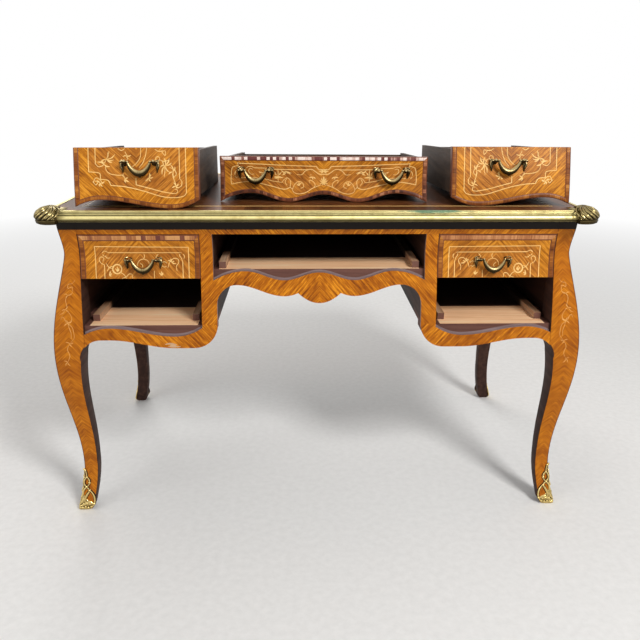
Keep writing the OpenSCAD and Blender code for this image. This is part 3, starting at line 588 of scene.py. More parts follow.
front_face = face(HALF_DEPTH)
back_face = face(HALF_DEPTH, 180)
right_face = face(HALF_WIDTH, 90)
left_face = face(HALF_WIDTH, -90)


def top_face(along, depth, back):
    """Maps (along, depth, back) onto the desktop's upper face."""
    return Vector((along, back, SURFACE - depth))


def lines_at(angle):
    """Grain in straight lines at an angle from the horizontal."""
    turn = math.radians(angle)

    def grain(centre, x, z):
        return x * math.cos(turn) + z * math.sin(turn), z * math.cos(turn) - x * math.sin(turn)

    return grain


def matched(angle, seam_x=None, seam_z=None):
    """Grain in lines at an angle, mirrored at a vertical and at a level seam."""
    lines = lines_at(angle)

    def grain(centre, x, z):
        if seam_x is not None:
            x = x - seam_x if centre[0] > seam_x else seam_x - x
        if seam_z is not None:
            z = z - seam_z if centre[1] > seam_z else seam_z - z
        return lines(centre, x, z)

    return grain


def cut(mesh, point, normal):
    everything = mesh.verts[:] + mesh.edges[:] + mesh.faces[:]
    bmesh.ops.bisect_plane(mesh, geom=everything, dist=1e-4, plane_co=point, plane_no=normal)


def write_grain(mesh, layer, faces, grain):
    for one in faces:
        middle = one.calc_center_median()
        for loop in one.loops:
            u, v = grain((middle.x, middle.z), loop.vert.co.x, loop.vert.co.z)
            loop[layer].uv = (u * MM, v * MM)


def sheet(name, body, outline, place, grain, depths, materials,
          replaces=(), seams=(), step=6, extra_levels=(), rear=0):
    """A veneered board of any outline that follows a face; a depth is a number or f(height)."""
    mesh = bmesh.new()
    mesh.faces.new([mesh.verts.new((x, 0, z)) for x, z in without_repeats(outline)])
    heights = [z for _, z in outline]
    levels = [n * step for n in range(int(min(heights) // step), int(max(heights) // step) + 1)]
    for level in [*levels, *extra_levels]:
        cut(mesh, (0, 0, level), (0, 0, 1))
    for seam in seams:
        cut(mesh, (seam, 0, 0), (1, 0, 0))
    layer = mesh.loops.layers.uv.new("grain")
    write_grain(mesh, layer, mesh.faces[:], grain)
    rim = [edge for edge in mesh.edges if edge.is_boundary]
    front = mesh.verts[:]
    everything = mesh.verts[:] + mesh.edges[:] + mesh.faces[:]
    twins = bmesh.ops.duplicate(mesh, geom=everything)
    twin = twins["vert_map"]
    for item in twins["geom"]:
        if isinstance(item, bmesh.types.BMFace):
            item.material_index = rear
    walls = []
    for edge in rim:
        a, b = edge.verts
        walls.append(mesh.faces.new((a, b, twin[b], twin[a])))
        walls[-1].material_index = len(materials) - 1
    back_vertices = {twin[vertex] for vertex in front}

    def depth_of(vertex):
        depth = depths[1] if vertex in back_vertices else depths[0]
        return depth(vertex.co.z) if callable(depth) else depth

    for wall in walls:
        for loop in wall.loops:
            along = loop.vert.co.x + loop.vert.co.z
            loop[layer].uv = (along * MM, depth_of(loop.vert) * MM)
    for vertex in mesh.verts:
        vertex.co = place(vertex.co.x, depth_of(vertex), vertex.co.z)
    return add_piece(mesh, name, body, materials, replaces)


def smooth_path(points, spacing=2.0):
    """Points along a smooth curve through the given ones."""
    points = [Vector(point) for point in points]
    if len(points) < 3:
        first, last = points
        count = max(1, round((last - first).length / (3 * spacing)))
        return [first.lerp(last, i / count) for i in range(count + 1)]
    ends = [2 * points[0] - points[1], *points, 2 * points[-1] - points[-2]]
    path = []
    for a, b, c, d in zip(ends, ends[1:], ends[2:], ends[3:]):
        count = max(2, round((c - b).length / spacing))
        for i in range(count):
            t = i / count
            path.append(0.5 * (2 * b + (c - a) * t + (2 * a - 5 * b + 4 * c - d) * t * t
                               + (3 * b - 3 * c + d - a) * t ** 3))
    return [*path, points[-1]]


def ribbon(mesh, place, points, width, tips=1.0, proud=0.2, sunk=0.5):
    """A flat inlaid line; tips is the width of its ends as a share of its middle's."""
    path = smooth_path(points)
    rings = []
    for i, point in enumerate(path):
        ahead = path[min(i + 1, len(path) - 1)] - path[max(i - 1, 0)]
        side = Vector((-ahead.y, ahead.x)).normalized()
        share = i / (len(path) - 1)
        half = width / 2 * (tips + (1 - tips) * math.sin(math.pi * share))
        corners = [(-half, sunk), (-half, -proud), (half, -proud), (half, sunk)]
        ring = []
        for across, depth in corners:
            spot = point + side * across
            ring.append(mesh.verts.new(place(spot.x, depth, spot.y)))
        rings.append(ring)
    skin(mesh, rings)
    mesh.faces.new(rings[0])
    mesh.faces.new(rings[-1][::-1])


def inlay(name, body, place, strokes, material=None):
    """Inlaid lines and leaves: strokes are (points, width, tips)."""
    mesh = bmesh.new()
    for points, width, tips in strokes:
        ribbon(mesh, place, points, width, tips)
    return add_piece(mesh, name, body, [material or boxwood], sharp=30)


def tube(mesh, points, radii, sides=10, flat=1.0):
    """A round or flattened bar along points, with a radius at each, and closed ends."""
    rings = []
    for i, point in enumerate(points):
        ahead = (points[min(i + 1, len(points) - 1)] - points[max(i - 1, 0)]).normalized()
        across = ahead.cross(Vector((0, 0, 1)))
        if across.length < 1e-3:
            across = ahead.cross(Vector((1, 0, 0)))
        across.normalize()
        rise = across.cross(ahead)
        ring = []
        for k in range(sides):
            turn = 2 * math.pi * k / sides
            spot = point + across * radii[i] * math.cos(turn) + rise * radii[i] * flat * math.sin(turn)
            ring.append(mesh.verts.new(spot))
        rings.append(ring)
    skin(mesh, rings)
    for ring in (rings[0], rings[-1]):
        middle = mesh.verts.new(sum((vertex.co for vertex in ring), Vector()) / sides)
        fan(mesh, ring, middle)


def swept(mesh, points, start, middle, end, sides=10, flat=1.0):
    """A smooth bar through a few points, whose radius swells from its ends to its middle."""
    path = smooth_path(points, 1.5)
    last = len(path) - 1
    radii = []
    for i in range(len(path)):
        share = i / last
        ends = start + (end - start) * share
        radii.append(ends + (middle - (start + end) / 2) * math.sin(math.pi * share))
    tube(mesh, path, radii, sides, flat)


def ball(mesh, centre, radii):
    matrix = Matrix.Translation(centre) @ Matrix.Diagonal((*radii, 1))
    bmesh.ops.create_uvsphere(mesh, u_segments=14, v_segments=9, radius=1, matrix=matrix)


# Legs

def leg_width(z):
    if z <= ANKLE:
        return ANKLE_WIDTH
    return ANKLE_WIDTH + (KNEE_WIDTH - ANKLE_WIDTH) * between(ANKLE, ARCH_SPRING, z) ** LEG_TAPER


def leg_inner(z):
    """The leg's inner side, measured out from the waist's face."""
    if z <= ARCH_SPRING:
        return swell(z) - leg_width(z)
    rise = z - ARCH_SPRING
    if rise < ARCH_RADIUS * math.sin(math.radians(ARCH_END)):
        return ARCH_OUT + math.sqrt(ARCH_RADIUS ** 2 - rise ** 2)
    return -POST


LEG_STEP = 6
CORNER_ROUNDING = 2.5
SOLE_ROUNDING = 10
# How near a face lies to the leg's inner side to be part of it, plain and at the arch
INNER_REACH = 0.7
ARCH_REACH = 4


def sole_inset(z):
    """How far the foot draws in at its rounded sole."""
    if z >= SOLE_ROUNDING:
        return 0
    share = 1 - z / SOLE_ROUNDING
    return 0.8 * SOLE_ROUNDING * (1 - math.sqrt(1 - share ** 2))


def leg_ring(z):
    """A leg's section, as points measured outward from the waist along x and y."""
    inner, outer = leg_inner(z) + sole_inset(z), swell(z) - sole_inset(z)
    middle, half = (inner + outer) / 2, (outer - inner) / 2
    round_in = CORNER_ROUNDING * (1 - math.sqrt(0.5))
    ring = []
    for quarter in range(4):
        turn = Matrix.Rotation(-math.pi / 2 * quarter, 2)
        for along, out in ((0, half), (half - CORNER_ROUNDING, half),
                           (half - round_in, half - round_in), (half, half - CORNER_ROUNDING)):
            spot = turn @ Vector((along, out))
            ring.append((middle + spot.x, middle + spot.y))
    return ring


def leg(name, sign_x, sign_y):
    mesh = bmesh.new()
    layer = mesh.loops.layers.uv.new("grain")
    arch_level = ARCH_SPRING + ARCH_RADIUS * math.sin(math.radians(ARCH_END))
    levels = sorted({0, 1, 2, 4, 8, *range(LEG_STEP, FRIEZE_TOP, LEG_STEP), arch_level,
                     ARCH_SPRING, FRIEZE_TOP})
    rings = []
    for z in levels:
        ring = []
        for x, y in leg_ring(z):
            spot = Vector((sign_x * (HALF_WIDTH + x), sign_y * (HALF_DEPTH + y), z))
            ring.append(mesh.verts.new(spot))
        rings.append(ring)
    for one in skin(mesh, rings):
        for loop in one.loops:
            x, y, z = loop.vert.co
            centre = (leg_inner(z) + swell(z)) / 2
            across = min(abs(abs(x) - HALF_WIDTH - centre), abs(abs(y) - HALF_DEPTH - centre))
            u = (z - across) * math.sqrt(0.5)
            v = (z + across) * math.sqrt(0.5)
            loop[layer].uv = (u * MM, v * MM)
    mesh.faces.new(rings[0])
    mesh.faces.new(rings[-1])
    for one in mesh.faces:
        middle = one.calc_center_median()
        z = middle.z
        out_x, out_y = abs(middle.x) - HALF_WIDTH, abs(middle.y) - HALF_DEPTH
        reach = ARCH_REACH if ARCH_SPRING < z < arch_level else INNER_REACH
        # Painted shade: the inner sides take the very dark carcass oak
        if min(out_x, out_y) < leg_inner(z) + sole_inset(z) + reach:
            one.material_index = 2
        # Painted shade: the outermost rounded corner, below the edge's shade line, takes dark veneer
        elif min(out_x, out_y) > swell(z) - CORNER_ROUNDING and z < EDGE_SHADE_LINE:
            one.material_index = 1
    woods = [leg_veneer, dark_veneer, carcass_oak]
    return add_piece(mesh, name + "_veneer", "desk", woods, [name], 40)


for side_name, sign_x in HANDS:
    for end_name, sign_y in (("front", -1), ("rear", 1)):
        leg(f"leg_{end_name}_{side_name}", sign_x, sign_y)


# Carcass front, sides and back

def flat_back(depth):
    """The depth of a board's flat back, measured from its swelling face."""
    return lambda z: depth + swell(z)


def rectangle(low_x, high_x, low_z, high_z):
    return [(low_x, low_z), (high_x, low_z), (high_x, high_z), (low_x, high_z)]


framing = [tulipwood, apron_edge]
# The angle of the carcass veneer's grain from the horizontal
CARCASS_GRAIN = 48
sheet("frieze_rail_veneer", "desk", rectangle(-SLOT_OUT, SLOT_OUT, SLOT_TOP, FRIEZE_TOP),
      front_face, matched(CARCASS_GRAIN, 0), (0, flat_back(PANEL)), framing,
      replaces=["frieze_rail"], seams=[0, -SLOT_HALF, SLOT_HALF])

upper_to_slot = [point for point in centre_half_edge if point[0] > HIGH_CORNER[0]]
ear_top = (HIGH_CORNER[0], height_at(centre_half_edge, HIGH_CORNER[0]))
stile_outline = (
    [(KNEEHOLE_HALF, LOW_CORNER[1]), (SLOT_IN, LOW_CORNER[1]), (SLOT_IN, SLOT_TOP),
     (SLOT_HALF, SLOT_TOP)]
    + upper_to_slot + [ear_top] + high_arc[::-1]
)
apron_outline = arch_and_wave + [(SLOT_IN, LOW_CORNER[1])] + side_upper_edge[::-1]
centre_top = [ear_top] + [p for p in centre_half_edge if p[0] < HIGH_CORNER[0]]
centre_apron_outline = (
    crown_to_middle + mirrored(crown_to_middle) + [(-x, z) for x, z in centre_top]
    + centre_top[::-1]
)


def handed(points, sign):
    return points if sign > 0 else mirrored(points)


for side_name, sign in HANDS:
    sheet(f"stile_{side_name}_veneer", "desk", handed(stile_outline, sign), front_face,
          lines_at(-CARCASS_GRAIN * sign), (0, FACING - 0.5), framing, replaces=[f"stile_{side_name}"])
    post = rectangle(SLOT_HALF, SLOT_IN, LOW_CORNER[1], SLOT_TOP)
    sheet(f"stile_{side_name}_core", "desk", handed(post, sign), front_face,
          lines_at(90), (FACING - 0.5, flat_back(PANEL)), [carcass_oak])
    sheet(f"apron_{side_name}_veneer", "desk", handed(apron_outline, sign), front_face,
          lines_at(CARCASS_GRAIN * sign), (0, FACING), framing, replaces=[f"apron_{side_name}"])

sheet("apron_centre_veneer", "desk", centre_apron_outline, front_face, matched(-CARCASS_GRAIN, 0),
      (0, FACING), framing, replaces=["apron_centre"], seams=[0])

lower_half = arch_and_wave + high_arc + crown_to_middle
back_outline = (
    lower_half + mirrored(lower_half) + [(-SLOT_OUT, FRIEZE_TOP), (SLOT_OUT, FRIEZE_TOP)]
)
BOARD_UNDERSIDE = SIDE_BOARD - BOARD


def panel_back(z):
    return PANEL + swell(z) if z > BOARD_UNDERSIDE else PANEL


sheet("back_panel_veneer", "desk", back_outline, back_face, matched(CARCASS_GRAIN, 0),
      (0, panel_back), [tulipwood, carcass_oak], replaces=["back_panel"],
      seams=[0, -SLOT_IN, SLOT_IN], extra_levels=(BOARD_UNDERSIDE, BOARD_UNDERSIDE + 0.1),
      rear=1)
SIDE_HALF = HALF_DEPTH - POST
side_half = (
    arc((HALF_DEPTH + ARCH_OUT, ARCH_SPRING), ARCH_RADIUS, ARCH_END, 90)
    + wave((SIDE_HALF - 58, ARCH_TOP), (0, DIP_LEVEL - SIDE_BAND))
)
side_outline = (
    side_half + mirrored(side_half) + [(-SIDE_HALF, FRIEZE_TOP), (SIDE_HALF, FRIEZE_TOP)]
)
SIDE_FACES = (("left", left_face), ("right", right_face))
for side_name, place in SIDE_FACES:
    sheet(f"side_panel_{side_name}_veneer", "desk", side_outline, place, matched(CARCASS_GRAIN, 0),
          (0, panel_back), [tulipwood, carcass_oak], replaces=[f"side_panel_{side_name}"],
          seams=[0], extra_levels=(BOARD_UNDERSIDE, BOARD_UNDERSIDE + 0.1), rear=1)

# The aprons' stained upper edges turn up against the rails behind them
APRON_LIP = 3.8


def behind_facing(x, depth, z):
    """A place on a rail's face, just behind the aprons' facings."""
    return front_face(x, FACING + depth, z)


def apron_lip(name, edge):
    raised = [(x, z + APRON_LIP / 2) for x, z in edge]
    inlay(name, "desk", behind_facing, [(raised, APRON_LIP, 1)], apron_edge)


apron_lip("apron_centre_lip", [(-x, z) for x, z in centre_half_edge] + centre_half_edge[-2::-1])
for side_name, sign in HANDS:
    apron_lip(f"apron_{side_name}_lip", handed(side_upper_edge, sign))

# A worn patch low on the left apron
inlay("worn_patch", "desk", front_face, [
    ([(-364, 459), (-351, 461), (-336, 458)], 4, 0.3),
    ([(-357, 454.5), (-345, 453), (-327, 454)], 3.5, 0.3),
    ([(-352, 457), (-345, 456.5), (-338, 455)], 5, 0.5),
], worn_wood)

paint_nodes(carcass_oak, "partition_left", "partition_right", "upper_runners", "corner_blocks")
paint_nodes(pale_board, "dustboard_left", "dustboard_centre", "dustboard_right")
paint_nodes(guide_wood, "guide_strips")


# Desktop

def within(half_width, half_depth, notch=0.0):
    """A rectangle about the middle, with a square notch at each corner if one is asked."""
    x, y = half_width, half_depth
    if not notch:
        return rectangle(-x, x, -y, y)
    inner_x, inner_y = x - notch, y - notch
    return [(-inner_x, -y), (inner_x, -y), (inner_x, -inner_y), (x, -inner_y), (x, inner_y),
            (inner_x, inner_y), (inner_x, y), (-inner_x, y), (-inner_x, inner_y), (-x, inner_y),
            (-x, -inner_y), (-inner_x, -inner_y)]


PANEL_HALF_WIDTH = TOP_HALF_WIDTH - EDGE_DEPTH
PANEL_HALF_DEPTH = TOP_HALF_DEPTH - EDGE_DEPTH
BORDER_WIDTH = 62
FIELD_HALF_WIDTH = PANEL_HALF_WIDTH - BORDER_WIDTH
FIELD_HALF_DEPTH = PANEL_HALF_DEPTH - BORDER_WIDTH
FLAT = 2000


def bordered(centre, x, z):
    """Grain that runs across a border: away from the nearer long or short side."""
    beside = abs(centre[0]) - FIELD_HALF_WIDTH > abs(centre[1]) - FIELD_HALF_DEPTH
    return (x, z) if beside else (z, -x)


sheet("desktop_veneer", "desk", within(PANEL_HALF_WIDTH, PANEL_HALF_DEPTH, CORNER - EDGE_DEPTH),
      top_face, bordered, (0, SURFACE - FRIEZE_TOP), [desk_border, carcass_oak],
      replaces=["desktop_panel"], step=FLAT)
sheet("desktop_field", "desk", within(FIELD_HALF_WIDTH, FIELD_HALF_DEPTH), top_face,
      matched(45, 0, 0), (-0.1, 0.5), [dark_veneer, dark_veneer], seams=[0], step=FLAT)


def outlined(name, half_width, half_depth, width):
    corners = within(half_width, half_depth)
    strokes = [([a, b], width, 1) for a, b in zip(corners, corners[1:] + corners[:1])]
    inlay(name, "desk", top_face, strokes)


outlined("desktop_string", FIELD_HALF_WIDTH, FIELD_HALF_DEPTH, 2.6)
outlined("desktop_outer_string", FIELD_HALF_WIDTH + 7, FIELD_HALF_DEPTH + 7, 1.2)
paint_nodes(edge_brass, "edge_front", "edge_rear", "edge_left", "edge_right")


# Drawers

class Drawer:
    def __init__(self, name, low_x, high_x, low, step, top, side_low, depth, side=0):
        self.name, self.low_x, self.high_x = name, low_x, high_x
        self.low, self.step, self.top = low, step, top
        self.side_low, self.depth, self.side = side_low, depth, side
        self.body = name + "_drawer"
        self.lean = 0
        self.matrix = Matrix()

    def stand_on_desktop(self, x, y, turn):
        """Leans the drawer on the foot of its front and the back of its sides."""
        foot = REBATE - swell(self.low)
        self.lean = math.atan((self.side_low - self.low) / (self.depth - foot))
        middle = (self.low_x + self.high_x) / 2
        self.matrix = (
            Matrix.Translation((x, y - HALF_DEPTH, SURFACE + RESTING_GAP))
            @ Matrix.Rotation(math.radians(turn), 4, "Z")
            @ Matrix.Rotation(-self.lean, 4, "X")
            @ Matrix.Translation((-middle, HALF_DEPTH - foot, -self.low))
        )
        return self

    @property
    def place(self):
        return face(HALF_DEPTH, then=self.matrix)

    def spot(self, x, z):
        """Turns [from the outer side, down from the top] into [along, height]."""
        if self.side == 0:
            return x, self.top - z
        return self.side * (HIGH_X - x), self.top - z


LOW_X, HIGH_X = SLOT_IN + DRAWER_GAP, SLOT_OUT - DRAWER_GAP
SIDE_LOWEST = DIP_LEVEL + DRAWER_GAP
CENTRE_LOWEST = CENTRE_DIP[1] + DRAWER_GAP
CENTRE_X = SLOT_HALF - DRAWER_GAP
SIDE_DRAWER_DEPTH = 450
CENTRE_DRAWER_DEPTH = 465


def side_drawer(level, side_name, side, low, step, top, side_low):
    ends = sorted((side * LOW_X, side * HIGH_X))
    name = f"{level}_{side_name}"
    return Drawer(name, *ends, low, step, top, side_low, SIDE_DRAWER_DEPTH, side)


upper_drawers = [
    side_drawer("upper", name, side, UPPER_FRONT_BOTTOM, UPPER_FRONT_BOTTOM, FRONT_TOP,
                UPPER_FRONT_BOTTOM + 8)
    for name, side in HANDS
]
lower_drawers = [
    side_drawer("lower", name, side, SIDE_LOWEST, SIDE_BOARD + DRAWER_GAP, LOWER_FRONT_TOP,
                SIDE_BOARD + 6)
    for name, side in HANDS
]
lower_left, lower_right = lower_drawers
# Where the loose drawers stand: along x, how far back, and their turn in degrees
lower_left.stand_on_desktop(-406, -3, 1.7)
lower_right.stand_on_desktop(443, 36, -1.6)
centre = Drawer("centre", -CENTRE_X, CENTRE_X, CENTRE_LOWEST, CENTRE_BOARD + DRAWER_GAP,
                FRONT_TOP, CENTRE_BOARD + 6, CENTRE_DRAWER_DEPTH)
centre.stand_on_desktop(12, 93, -1.6)


def lower_edge(drawer):
    """The height of a drawer front's lower edge, at a place along it."""
    if drawer.low == drawer.step:
        return lambda x: drawer.low
    if drawer.side == 0:
        return lambda x: height_at(centre_upper_edge, x) + DRAWER_GAP
    return lambda x: height_at(side_upper_edge, abs(x)) + DRAWER_GAP


def front_outline(drawer):
    edge = lower_edge(drawer)
    count = 1 if drawer.low == drawer.step else 60
    width = drawer.high_x - drawer.low_x
    bottom = [drawer.low_x + width * i / count for i in range(count + 1)]
    return [(x, edge(x)) for x in bottom] + [(drawer.high_x, drawer.top),
                                            (drawer.low_x, drawer.top)]


BAND_PROFILE = [0.03, 0.8, 1.0, 1.0, 1.0, 0.8, 0.15]
BAND_RISE = 1.3
# The strips at the band's two borders, which are dark lines
BAND_LINES = (0, len(BAND_PROFILE) - 2)
# The border's wood and its top's, by the drawer's side
BAND_WOODS = {
    0: (kingwood, pink_glint_band), -1: (golden_band, tan_band), 1: (golden_band, rose_band),
}


def band(mesh, layer, place, outer, inner, upright, material_index):
    """A raised rounded strip of cross-grained wood between two lines."""
    count = max(2, int(math.dist(outer(0), outer(1)) / 5))
    rings = []
    for i in range(count + 1):
        a, b = Vector(outer(i / count)), Vector(inner(i / count))
        ring = []
        for k, rise in enumerate(BAND_PROFILE):
            spot = a.lerp(b, k / (len(BAND_PROFILE) - 1))
            ring.append((spot, -BAND_RISE * rise))
        ring += [(b, 0.5), (a, 0.5)]
        rings.append([(mesh.verts.new(place(s.x, depth, s.y)), s) for s, depth in ring])
    sides = len(rings[0])
    for a, b in zip(rings, rings[1:]):
        for i in range(sides):
            j = (i + 1) % sides
            corners = (a[i], a[j], b[j], b[i])
            one = mesh.faces.new([vertex for vertex, _ in corners])
            one.material_index = 2 if i in BAND_LINES else material_index
            for loop, (_, spot) in zip(one.loops, corners):
                u, v = (spot.x, spot.y) if upright else (spot.y, spot.x)
                loop[layer].uv = (u * MM, v * MM)
    for ring in (rings[0], rings[-1]):
        one = mesh.faces.new([vertex for vertex, _ in ring])
        one.material_index = material_index


def drawer_border(drawer, widths):
    """The raised border of a front: widths are those of its low-x, high-x, top and bottom."""
    low_width, high_width, top_width, bottom_width = widths
    edge = lower_edge(drawer)
    x0, x1 = drawer.low_x, drawer.high_x
    in0, in1 = x0 + low_width, x1 - high_width
    # A front that leans is kept under its own top edge
    rim = drawer.top if top_width else drawer.top - 0.5
    top_in = rim - top_width

    def bottom_in(x):
        return edge(x) + bottom_width

    def line(a, b):
        return lambda t: (a[0] + (b[0] - a[0]) * t, a[1] + (b[1] - a[1]) * t)

    mesh = bmesh.new()
    layer = mesh.loops.layers.uv.new("grain")
    for x, x_in in ((x0, in0), (x1, in1)):
        band(mesh, layer, drawer.place, line((x, edge(x)), (x, rim)),
             line((x_in, bottom_in(x_in)), (x_in, top_in)), True, 0)
    if top_width:
        band(mesh, layer, drawer.place, line((x0, drawer.top), (x1, drawer.top)),
             line((in0, top_in), (in1, top_in)), False, 1)
    if bottom_width:
        def outer(t):
            x = x0 + (x1 - x0) * t
            return x, edge(x)

        def inner(t):
            x = in0 + (in1 - in0) * t
            return x, bottom_in(x)

        band(mesh, layer, drawer.place, outer, inner, False, 0)
    woods = [*BAND_WOODS[drawer.side], front_edge]
    add_piece(mesh, drawer.name + "_border", drawer.body, woods, sharp=45)


def drawer_front(drawer, angle, widths):
    """A front's veneer, at its grain's angle, with its border, and the finish of the box behind."""
    middle = (drawer.low_x + drawer.high_x) / 2

    def back(z):
        return FRONT_THICKNESS if z > drawer.step else REBATE

    sheet(drawer.name + "_veneer", drawer.body, front_outline(drawer), drawer.place,
          matched(angle, middle), (0, back), [field_veneer, front_inside, front_edge],
          replaces=[drawer.name + "_front"], seams=[middle],
          extra_levels=(drawer.step, drawer.step + 0.1), rear=1)
    drawer_border(drawer, widths)
    paint_nodes(drawer_oak, drawer.name + "_sides")
    paint_nodes(drawer_back_oak, drawer.name + "_back")
    paint_nodes(drawer_bottom_oak, drawer.name + "_bottom")


for one in upper_drawers:
    drawer_front(one, -45, (12, 12, 15, 0))
for one in lower_drawers:
    drawer_front(one, 45, (11, 11, 0, 10))
drawer_front(centre, 40, (11, 11, 10.5, 9))


# Marquetry: strokes are [outer side to inner, down from the top]

STRING = 1.7
STEM = 1.5
LEAF = 2.6
CIRCLE_STEPS = 16


def circle(x, z, radius, start=0, turn=360):
    turns = [math.radians(start + turn * i / CIRCLE_STEPS) for i in range(CIRCLE_STEPS + 1)]
    return [(x + radius * math.cos(a), z + radius * math.sin(a)) for a in turns]


def spray(x, z, leaves, spread=0.35):
    """Leaves that grow from one spot: each is (angle, length)."""
    drawn = []
    for angle, length in leaves:
        a = math.radians(angle)
        tip = (x + length * math.cos(a), z + length * math.sin(a))
        side = (-math.sin(a) * length * spread * 0.4, math.cos(a) * length * spread * 0.4)
        half_way = ((x + tip[0]) / 2 + side[0], (z + tip[1]) / 2 + side[1])
        drawn.append([(x, z), half_way, tip])
    return drawn


def drawn(drawer, paths, width, tips):
    return [([drawer.spot(x, z) for x, z in path], width, tips) for path in paths]


def marquetry(drawer, strings, stems, leaves, panel, angle):
    """Inlays one front: a darker panel inside its strings, and the plants on it."""
    strokes = drawn(drawer, strings, STRING, 1)
    strokes += drawn(drawer, stems, STEM, 0.7)
    strokes += drawn(drawer, leaves, LEAF, 0.15)
    if drawer.side == 0:
        strokes += [([(-x, z) for x, z in path], width, tips) for path, width, tips in strokes]
    outline = [drawer.spot(x, z) for x, z in panel]
    if drawer.side == 0:
        outline = outline + mirrored(outline)
    middle = (drawer.low_x + drawer.high_x) / 2
    sheet(drawer.name + "_panel", drawer.body, outline, drawer.place, matched(angle, middle),
          (-0.1, 0.4), [panel_veneer, panel_veneer], seams=[middle])
    inlay(drawer.name + "_marquetry", drawer.body, drawer.place, strokes)


upper_string = [(34.8, 101), (34.8, 28), (248, 30), (248, 101)]
upper_strings = [
    [(34.8, 101), (34.8, 28)], [(34.8, 28), (248, 30)], [(248, 30), (248, 101)],
    [(54.6, 101), (54.6, 70)], [(64.5, 42.4), (226.4, 43)], [(234, 63), (234.3, 101)],
]
upper_stems = [
    [(64.5, 42.4), (57, 38.5), (51.5, 43), (54, 50), (60, 50)],
    [(54.6, 70), (47, 66), (43, 58), (48, 52), (54, 56), (51, 62)],
    [(57, 50), (62, 55), (68, 54)],
    [(226.4, 43), (233, 44), (238, 50), (237, 57)],
    [(234, 63), (231, 55), (227, 49), (231, 44)],
    circle(83.4, 79.7, 11), circle(83.4, 79.7, 9.5), circle(144, 71.4, 14),
    [(144, 58), (147, 51), (144, 43)], [(171.8, 57), (175, 50), (182, 43.5)],
    [(58.6, 67), (64.5, 75.6), (72, 79)], [(60, 84), (66, 76), (73, 74)],
    [(94, 101), (104, 97), (110, 91), (117, 92), (118, 101)],
    [(92, 88), (99, 93), (104, 101)],
    [(199.6, 77), (204, 65), (213.5, 56), (223, 57.5), (225, 65), (219.4, 73.5), (220.4, 84)],
    circle(191.6, 69.4, 6, 40, 300), [(168, 84), (168, 101)],
    [(136, 66), (142, 72), (138, 80)],
]
upper_leaves = (
    spray(208, 64, [(-160, 9), (-110, 8), (20, 12), (-20, 7)])
    + spray(83, 86, [(-90, 12), (-120, 9), (-60, 9)])
    + spray(184, 95, [(-90, 10), (-60, 8), (-130, 8)])
    + spray(64, 92, [(-70, 9), (-20, 8), (30, 7)])
)
for one in upper_drawers:
    marquetry(one, upper_strings, upper_stems, upper_leaves, upper_string, -50)

lower_string = [
    (32.4, 0.5), (32.4, 51.8), (51.8, 53.6), (57.2, 57.2), (57.2, 68), (73.4, 70.2), (79.9, 81),
    (112.3, 84.2), (149, 92.9), (192.2, 105.8), (220.3, 108), (238, 105), (245, 98), (245, 0.5),
]
lower_strings = [
    lower_string[:2], lower_string[1:5], lower_string[4:7], lower_string[6:13],
    lower_string[12:],
    [(47.5, 0.5), (47.5, 34.6)], [(231, 0.5), (231, 67)],
    [(135, 64.8), (135, 79.9)], [(135, 79.9), (159.8, 86.4), (192.2, 95), (217, 99.4)],
]
lower_stems = [
    [(47.5, 34.6), (54, 41), (62.6, 38.9), (67, 34.6)],
    [(69.1, 38.9), (71.3, 49.7), (82.1, 57.2), (103.7, 59.4), (108, 56.2)],
    [(217, 99.4), (224.6, 97.2), (225, 91), (219, 90)],
    [(231, 67), (235.4, 73.4), (234.3, 82), (227.9, 86.4)],
    [(147, 0.5), (145.8, 19.4), (136, 34.6), (121, 45.4)],
    [(160, 0.5), (157.7, 15.1), (151.2, 32.4), (142.5, 43.2)],
    [(41, 75.6), (47.5, 64.8), (56.2, 69.1), (62.6, 77.8)],
    [(97, 2), (104.8, 6.5), (112.3, 2)], [(112.3, 8.6), (117.7, 19.4), (116.6, 27)],
    [(67, 33.5), (73.4, 21.6), (78, 8)], [(103.7, 58), (110.2, 65), (112.3, 76)],
    [(155.5, 71.3), (163, 66), (168.5, 58)], circle(183.6, 24, 4.5),
    [(188, 26), (198, 30), (209, 26)], [(194, 30), (199, 45), (197, 63)],
    [(209, 43), (220, 47.5), (223.5, 58), (216, 65)], [(216, 62), (221.4, 77.8), (223.5, 89)],
    [(178, 4), (186, 8), (200, 7)], [(192, 8), (200, 17), (201, 7)],
    [(52, 74), (47, 80), (41, 72)],
]
lower_leaves = (
    spray(72, 25, [(-30, 22), (5, 16), (150, 16), (-80, 15), (30, 14)])
    + spray(66, 36, [(-160, 15), (-130, 10), (20, 14)])
    + spray(111, 66, [(-140, 12), (40, 12), (80, 10), (-20, 7)])
    + spray(163, 65, [(-80, 11), (-10, 10), (60, 9), (120, 9)])
    + spray(200, 38, [(-100, 16), (-60, 18), (-20, 15), (60, 18), (110, 22), (160, 12)])
    + spray(217, 52, [(-110, 16), (-70, 12), (80, 14), (150, 12)])
    + spray(222, 84, [(-120, 10), (-50, 9), (160, 9), (20, 8)])
    + spray(57, 76, [(-160, 13), (-20, 10), (60, 9), (110, 8)])
    + spray(116, 18, [(-10, 10), (170, 8), (60, 8)])
)
for one in lower_drawers:
    marquetry(one, lower_strings, lower_stems, lower_leaves, lower_string, 42)

